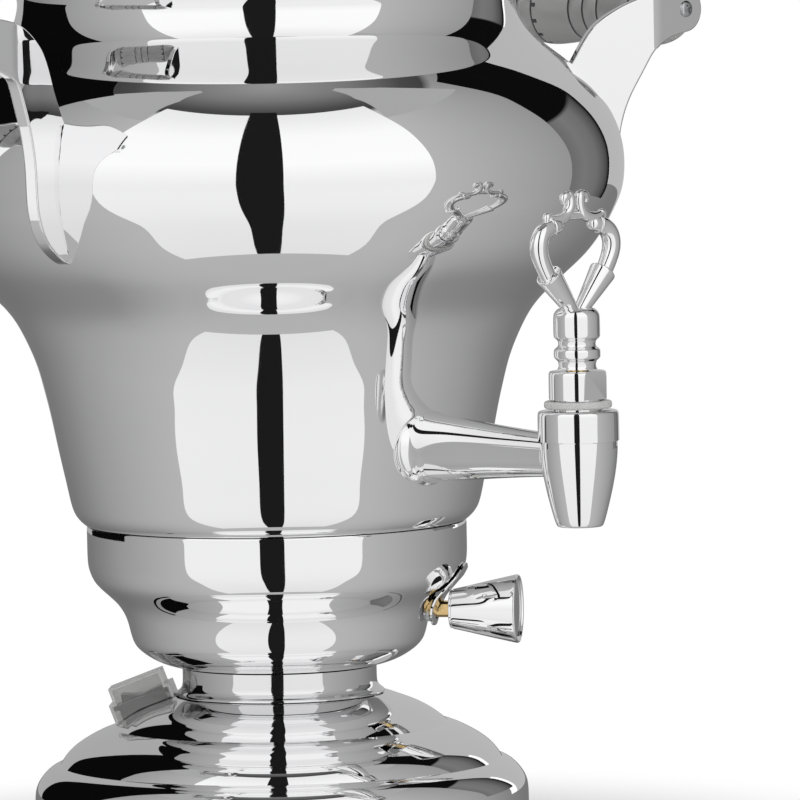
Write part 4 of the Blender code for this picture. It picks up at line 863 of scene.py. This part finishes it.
# %% Round the switch, its housing and its boot
def rounded(mesh, width, segments=3):
    """Bevel a mesh's hard edges and keep its broad faces even."""
    work = bpy.data.objects.new("work", mesh)
    bpy.context.scene.collection.objects.link(work)
    bevel = work.modifiers.new("edge", "BEVEL")
    bevel.width = width * MM
    bevel.segments = segments
    bevel.limit_method = "ANGLE"
    bevel.angle_limit = math.radians(40)
    bevel.harden_normals = True
    bpy.context.view_layer.update()
    result = bpy.data.meshes.new_from_object(work.evaluated_get(bpy.context.evaluated_depsgraph_get()))
    bpy.data.objects.remove(work)
    return result


for title, look, body, width in (
    ("switch_boot", "clear_plastic", "body", 0.9), ("switch_housing", "black_plastic", "body", 0.4),
    ("switch_rocker", "black_plastic", "rocker", 0.4),
):
    solid = frame["nodes"][title]
    form = solid.data.copy()
    form.transform(solid.matrix_world)
    clean = bmesh.new()
    clean.from_mesh(form)
    bmesh.ops.dissolve_limit(clean, angle_limit=math.radians(2), verts=clean.verts, edges=clean.edges)
    clean.to_mesh(form)
    clean.free()
    form = rounded(form, width)
    form.shade_smooth()
    add_piece(title + "_fine", form, look, body, [title])
    print(title, "now has", len(form.polygons), "faces")

# %% [markdown]
# ## Solids that keep their own shape
# What hides inside, or is already true in shape, keeps its solid and only gets its finish.

# %% Finish the remaining solids
for part in frame["record"]["subparts"]:
    node = frame["nodes"][part["node"]]
    node.data.materials.clear()
    node.data.materials.append(finishes[part["material_slot"]])
    node.data.shade_smooth()
    node.data.set_sharp_from_angle(angle=CREASE)
print("pieces made:", len(made), "solids kept:", sum(not node.hide_render for node in frame["nodes"].values()))

# %% [markdown]
# ## Studio
# A mirror has no look of its own: it shows the room. The room here is a grey tent with two tall
# white panels, one to each side of the camera and a narrow dark gap between them. The tent and
# the panels are real surfaces that give light, hidden from the camera alone, so the background
# stays white.

# %% Tent and panels
VIEW = -43.0
TENT = 2.2
HEART = Vector((0, 0, 0.16))


def direction(turn, rise):
    """A direction from the samovar: turn in degrees to the right of the camera, rise above level."""
    angle, lift = math.radians(VIEW + turn), math.radians(rise)
    return Vector((math.sin(angle) * math.cos(lift), -math.cos(angle) * math.cos(lift), math.sin(lift)))


glow = bpy.data.materials.new("glow")
glow.use_nodes = True
tree = glow.node_tree
tree.nodes.clear()
amount = add_node(tree, "ShaderNodeAttribute", attribute_name="glow")
light = add_node(tree, "ShaderNodeEmission")
out = add_node(tree, "ShaderNodeOutputMaterial")
link(tree, amount.outputs["Fac"], light.inputs["Strength"])
link(tree, light.outputs[0], out.inputs["Surface"])


def panel(name, rows, shade, reach=2.0, across=24, up=32):
    """A curved light on a ball round the samovar. rows give the turns it spans at each rise."""
    points, faces, glows = [], [], []
    low, high = rows[0][0], rows[-1][0]
    for row in range(up + 1):
        rise = low + (high - low) * row / up
        start = blend(rise, [(r, a) for r, a, b in rows])
        end = blend(rise, [(r, b) for r, a, b in rows])
        for column in range(across + 1):
            turn = start + (end - start) * column / across
            points.append(HEART + direction(turn, rise) * reach)
            glows.append(shade(turn, rise))
    for row in range(up):
        for column in range(across):
            corner = row * (across + 1) + column
            faces.append((corner, corner + 1, corner + across + 2, corner + across + 1))
    mesh = bpy.data.meshes.new(name)
    mesh.from_pydata(points, [], faces)
    mesh.attributes.new("glow", "FLOAT", "POINT").data.foreach_set("value", glows)
    mesh.materials.append(glow)
    light = bpy.data.objects.new(name, mesh)
    bpy.context.scene.collection.objects.link(light)
    light.visible_camera = False
    light.visible_shadow = False
    return light


HIGH_SIDES = [(0, 0.5), (54, 0.5), (70, 0.45), (80, 0.42), (90, 0.39), (100, 0.36), (110, 0.33), (130, 0.25), (150, 0.2), (180, 0.18)]
LOW_SIDES = [(0, 0.5), (54, 0.5), (70, 0.47), (90, 0.42), (110, 0.36), (130, 0.28), (150, 0.2), (170, 0.12), (180, 0.1)]
BOX = [(-90, 0.8), (-58, 0.84), (-28, 0.92), (-8, 0.95), (0, 0.94), (20, 1.08), (45, 1.06), (62, 0.9)]
CARD = [(104, 0.16), (112, 0.2), (121, 0.17), (128, 0.09), (130.4, 0.05), (131, 0.004), (134, 0.0)]


def tent_shade(turn, rise):
    if rise > 60:
        return blend(rise, [(60, 0.05), (66, 0.07), (76, 0.2), (90, 0.32)])
    low = blend(rise, [(-90, 1.0), (-70, 0.7), (-55, 0.0)])
    side = blend(rise, [(-30, 0.0), (-10, 1.0)])
    wall = blend(abs(turn), HIGH_SIDES) * side + blend(abs(turn), LOW_SIDES) * (1 - side)
    return low * 0.48 + (1 - low) * wall


def box_shade(turn, rise):
    return blend(rise, BOX)


def card_shade(turn, rise):
    return 0.004 if rise > 32 else blend(turn, CARD)


panel("tent", [(-90, -180, 180), (90, -180, 180)], tent_shade, 2.2, 72, 90)
panel("box_left", [(-63, -50, -7.5), (-45, -51, -8.5), (0, -58, -10.5), (64, -58, -10)], box_shade)
panel("box_right", [(-63, 44, 5.0), (-45, 45, 5.0), (0, 53, 4.2), (64, 54, 4.5)], box_shade)
panel("gap", [(-63, -7.5, 5.0), (-45, -8.5, 5.0), (0, -10.5, 4.2), (66, -10, 4.5)], lambda turn, rise: 0.012)
panel("wall_left", [(55, -112, -58), (70, -100, -64), (78, -88, -80)], lambda turn, rise: 0.42, 2.1)
panel("wall_right", [(55, 54, 112), (70, 62, 100), (78, 78, 88)], lambda turn, rise: 0.42, 2.1)
panel("dark_right", [(-6, 105, 132.5), (62, 102, 132.5)], card_shade, 0.6, 32, 48)
panel("white_right", [(-5, 133, 141), (24, 133, 141)], lambda turn, rise: 1.15)
panel("dark_left", [(-6, -150, -104), (62, -150, -104)], lambda turn, rise: 0.003)
panel("back_right", [(-5, 133, 180), (70, 133, 180)], lambda turn, rise: 0.5, 2.1)
panel("back_left", [(-6, -180, -150), (70, -180, -150)], lambda turn, rise: 0.42)
print("tent and panels stand", TENT, "m away")

# %% Floor and white background
FLOOR = 3.0
shape = bmesh.new()
bmesh.ops.create_circle(shape, cap_ends=True, segments=96, radius=FLOOR)
floor_mesh = bpy.data.meshes.new("floor")
shape.to_mesh(floor_mesh)
shape.free()
floor = bpy.data.objects.new("floor", floor_mesh)
bpy.context.scene.collection.objects.link(floor)
floor.visible_glossy = False
ground = bpy.data.materials.new("pale_floor")
ground.use_nodes = True
tree = ground.node_tree
tree.nodes.clear()
matt = add_node(tree, "ShaderNodeBsdfDiffuse")
matt.inputs["Color"].default_value = (0.9, 0.9, 0.9, 1.0)
paper = add_node(tree, "ShaderNodeEmission", Strength=1.0)
paper.inputs["Color"].default_value = (1.0, 1.0, 1.0, 1.0)
path = add_node(tree, "ShaderNodeLightPath")
mix = add_node(tree, "ShaderNodeMixShader")
out = add_node(tree, "ShaderNodeOutputMaterial")
where = add_node(tree, "ShaderNodeTexCoord")
reach = add_node(tree, "ShaderNodeVectorMath", operation="LENGTH")
link(tree, where.outputs["Object"], reach.inputs[0])
fade = add_node(tree, "ShaderNodeMapRange", interpolation_type="SMOOTHSTEP")
link(tree, reach.outputs["Value"], fade.inputs["Value"])
for title, value in (("From Min", 0.09), ("From Max", 0.26), ("To Min", 0.35), ("To Max", 1.0)):
    fade.inputs[title].default_value = value
link(tree, math_node(tree, "MULTIPLY", path.outputs["Is Camera Ray"], fade.outputs["Result"]), mix.inputs[0])
link(tree, matt.outputs[0], mix.inputs[1])
link(tree, paper.outputs[0], mix.inputs[2])
link(tree, mix.outputs[0], out.inputs["Surface"])
floor_mesh.materials.append(ground)

world = bpy.data.worlds.new("white_room")
bpy.context.scene.world = world
world.use_nodes = True
back = world.node_tree.nodes["Background"]
back.inputs["Color"].default_value = (1.0, 1.0, 1.0, 1.0)
back.inputs["Strength"].default_value = 1.0
bpy.context.scene.view_settings.view_transform = "Standard"

# %% [markdown]
# ## Camera
# The photograph was taken from about three metres with a long lens, a little above the bowl. The
# camera is placed by its distance, its height and the point in the middle of the picture, and it
# is rolled by about a degree, as the photograph is.

# %% Camera
DISTANCE = 3.15
EYE = 0.394
PIXEL = 0.00036
WIDE = 800
CENTRE_RIGHT = 0.0454
CENTRE_HEIGHT = 0.162
ROLL = math.radians(-1.1)
away = direction(0, 0)
right = Vector((-away.y, away.x, 0))
eye = away * DISTANCE + Vector((0, 0, EYE))
target = right * CENTRE_RIGHT + Vector((0, 0, CENTRE_HEIGHT))
lens_data = bpy.data.cameras.new("camera")
camera = bpy.data.objects.new("camera", lens_data)
bpy.context.scene.collection.objects.link(camera)
bpy.context.scene.camera = camera
lens_data.sensor_width = 36.0
lens_data.lens = 36.0 * DISTANCE / (WIDE * PIXEL)
lens_data.clip_start = 0.05
lens_data.clip_end = 50.0
camera.location = eye
camera.rotation_mode = "QUATERNION"
aim = (target - eye).to_track_quat("-Z", "Y")
camera.rotation_quaternion = aim @ Matrix.Rotation(ROLL, 3, "Z").to_quaternion()
print("lens", round(lens_data.lens), "mm at", DISTANCE, "m")
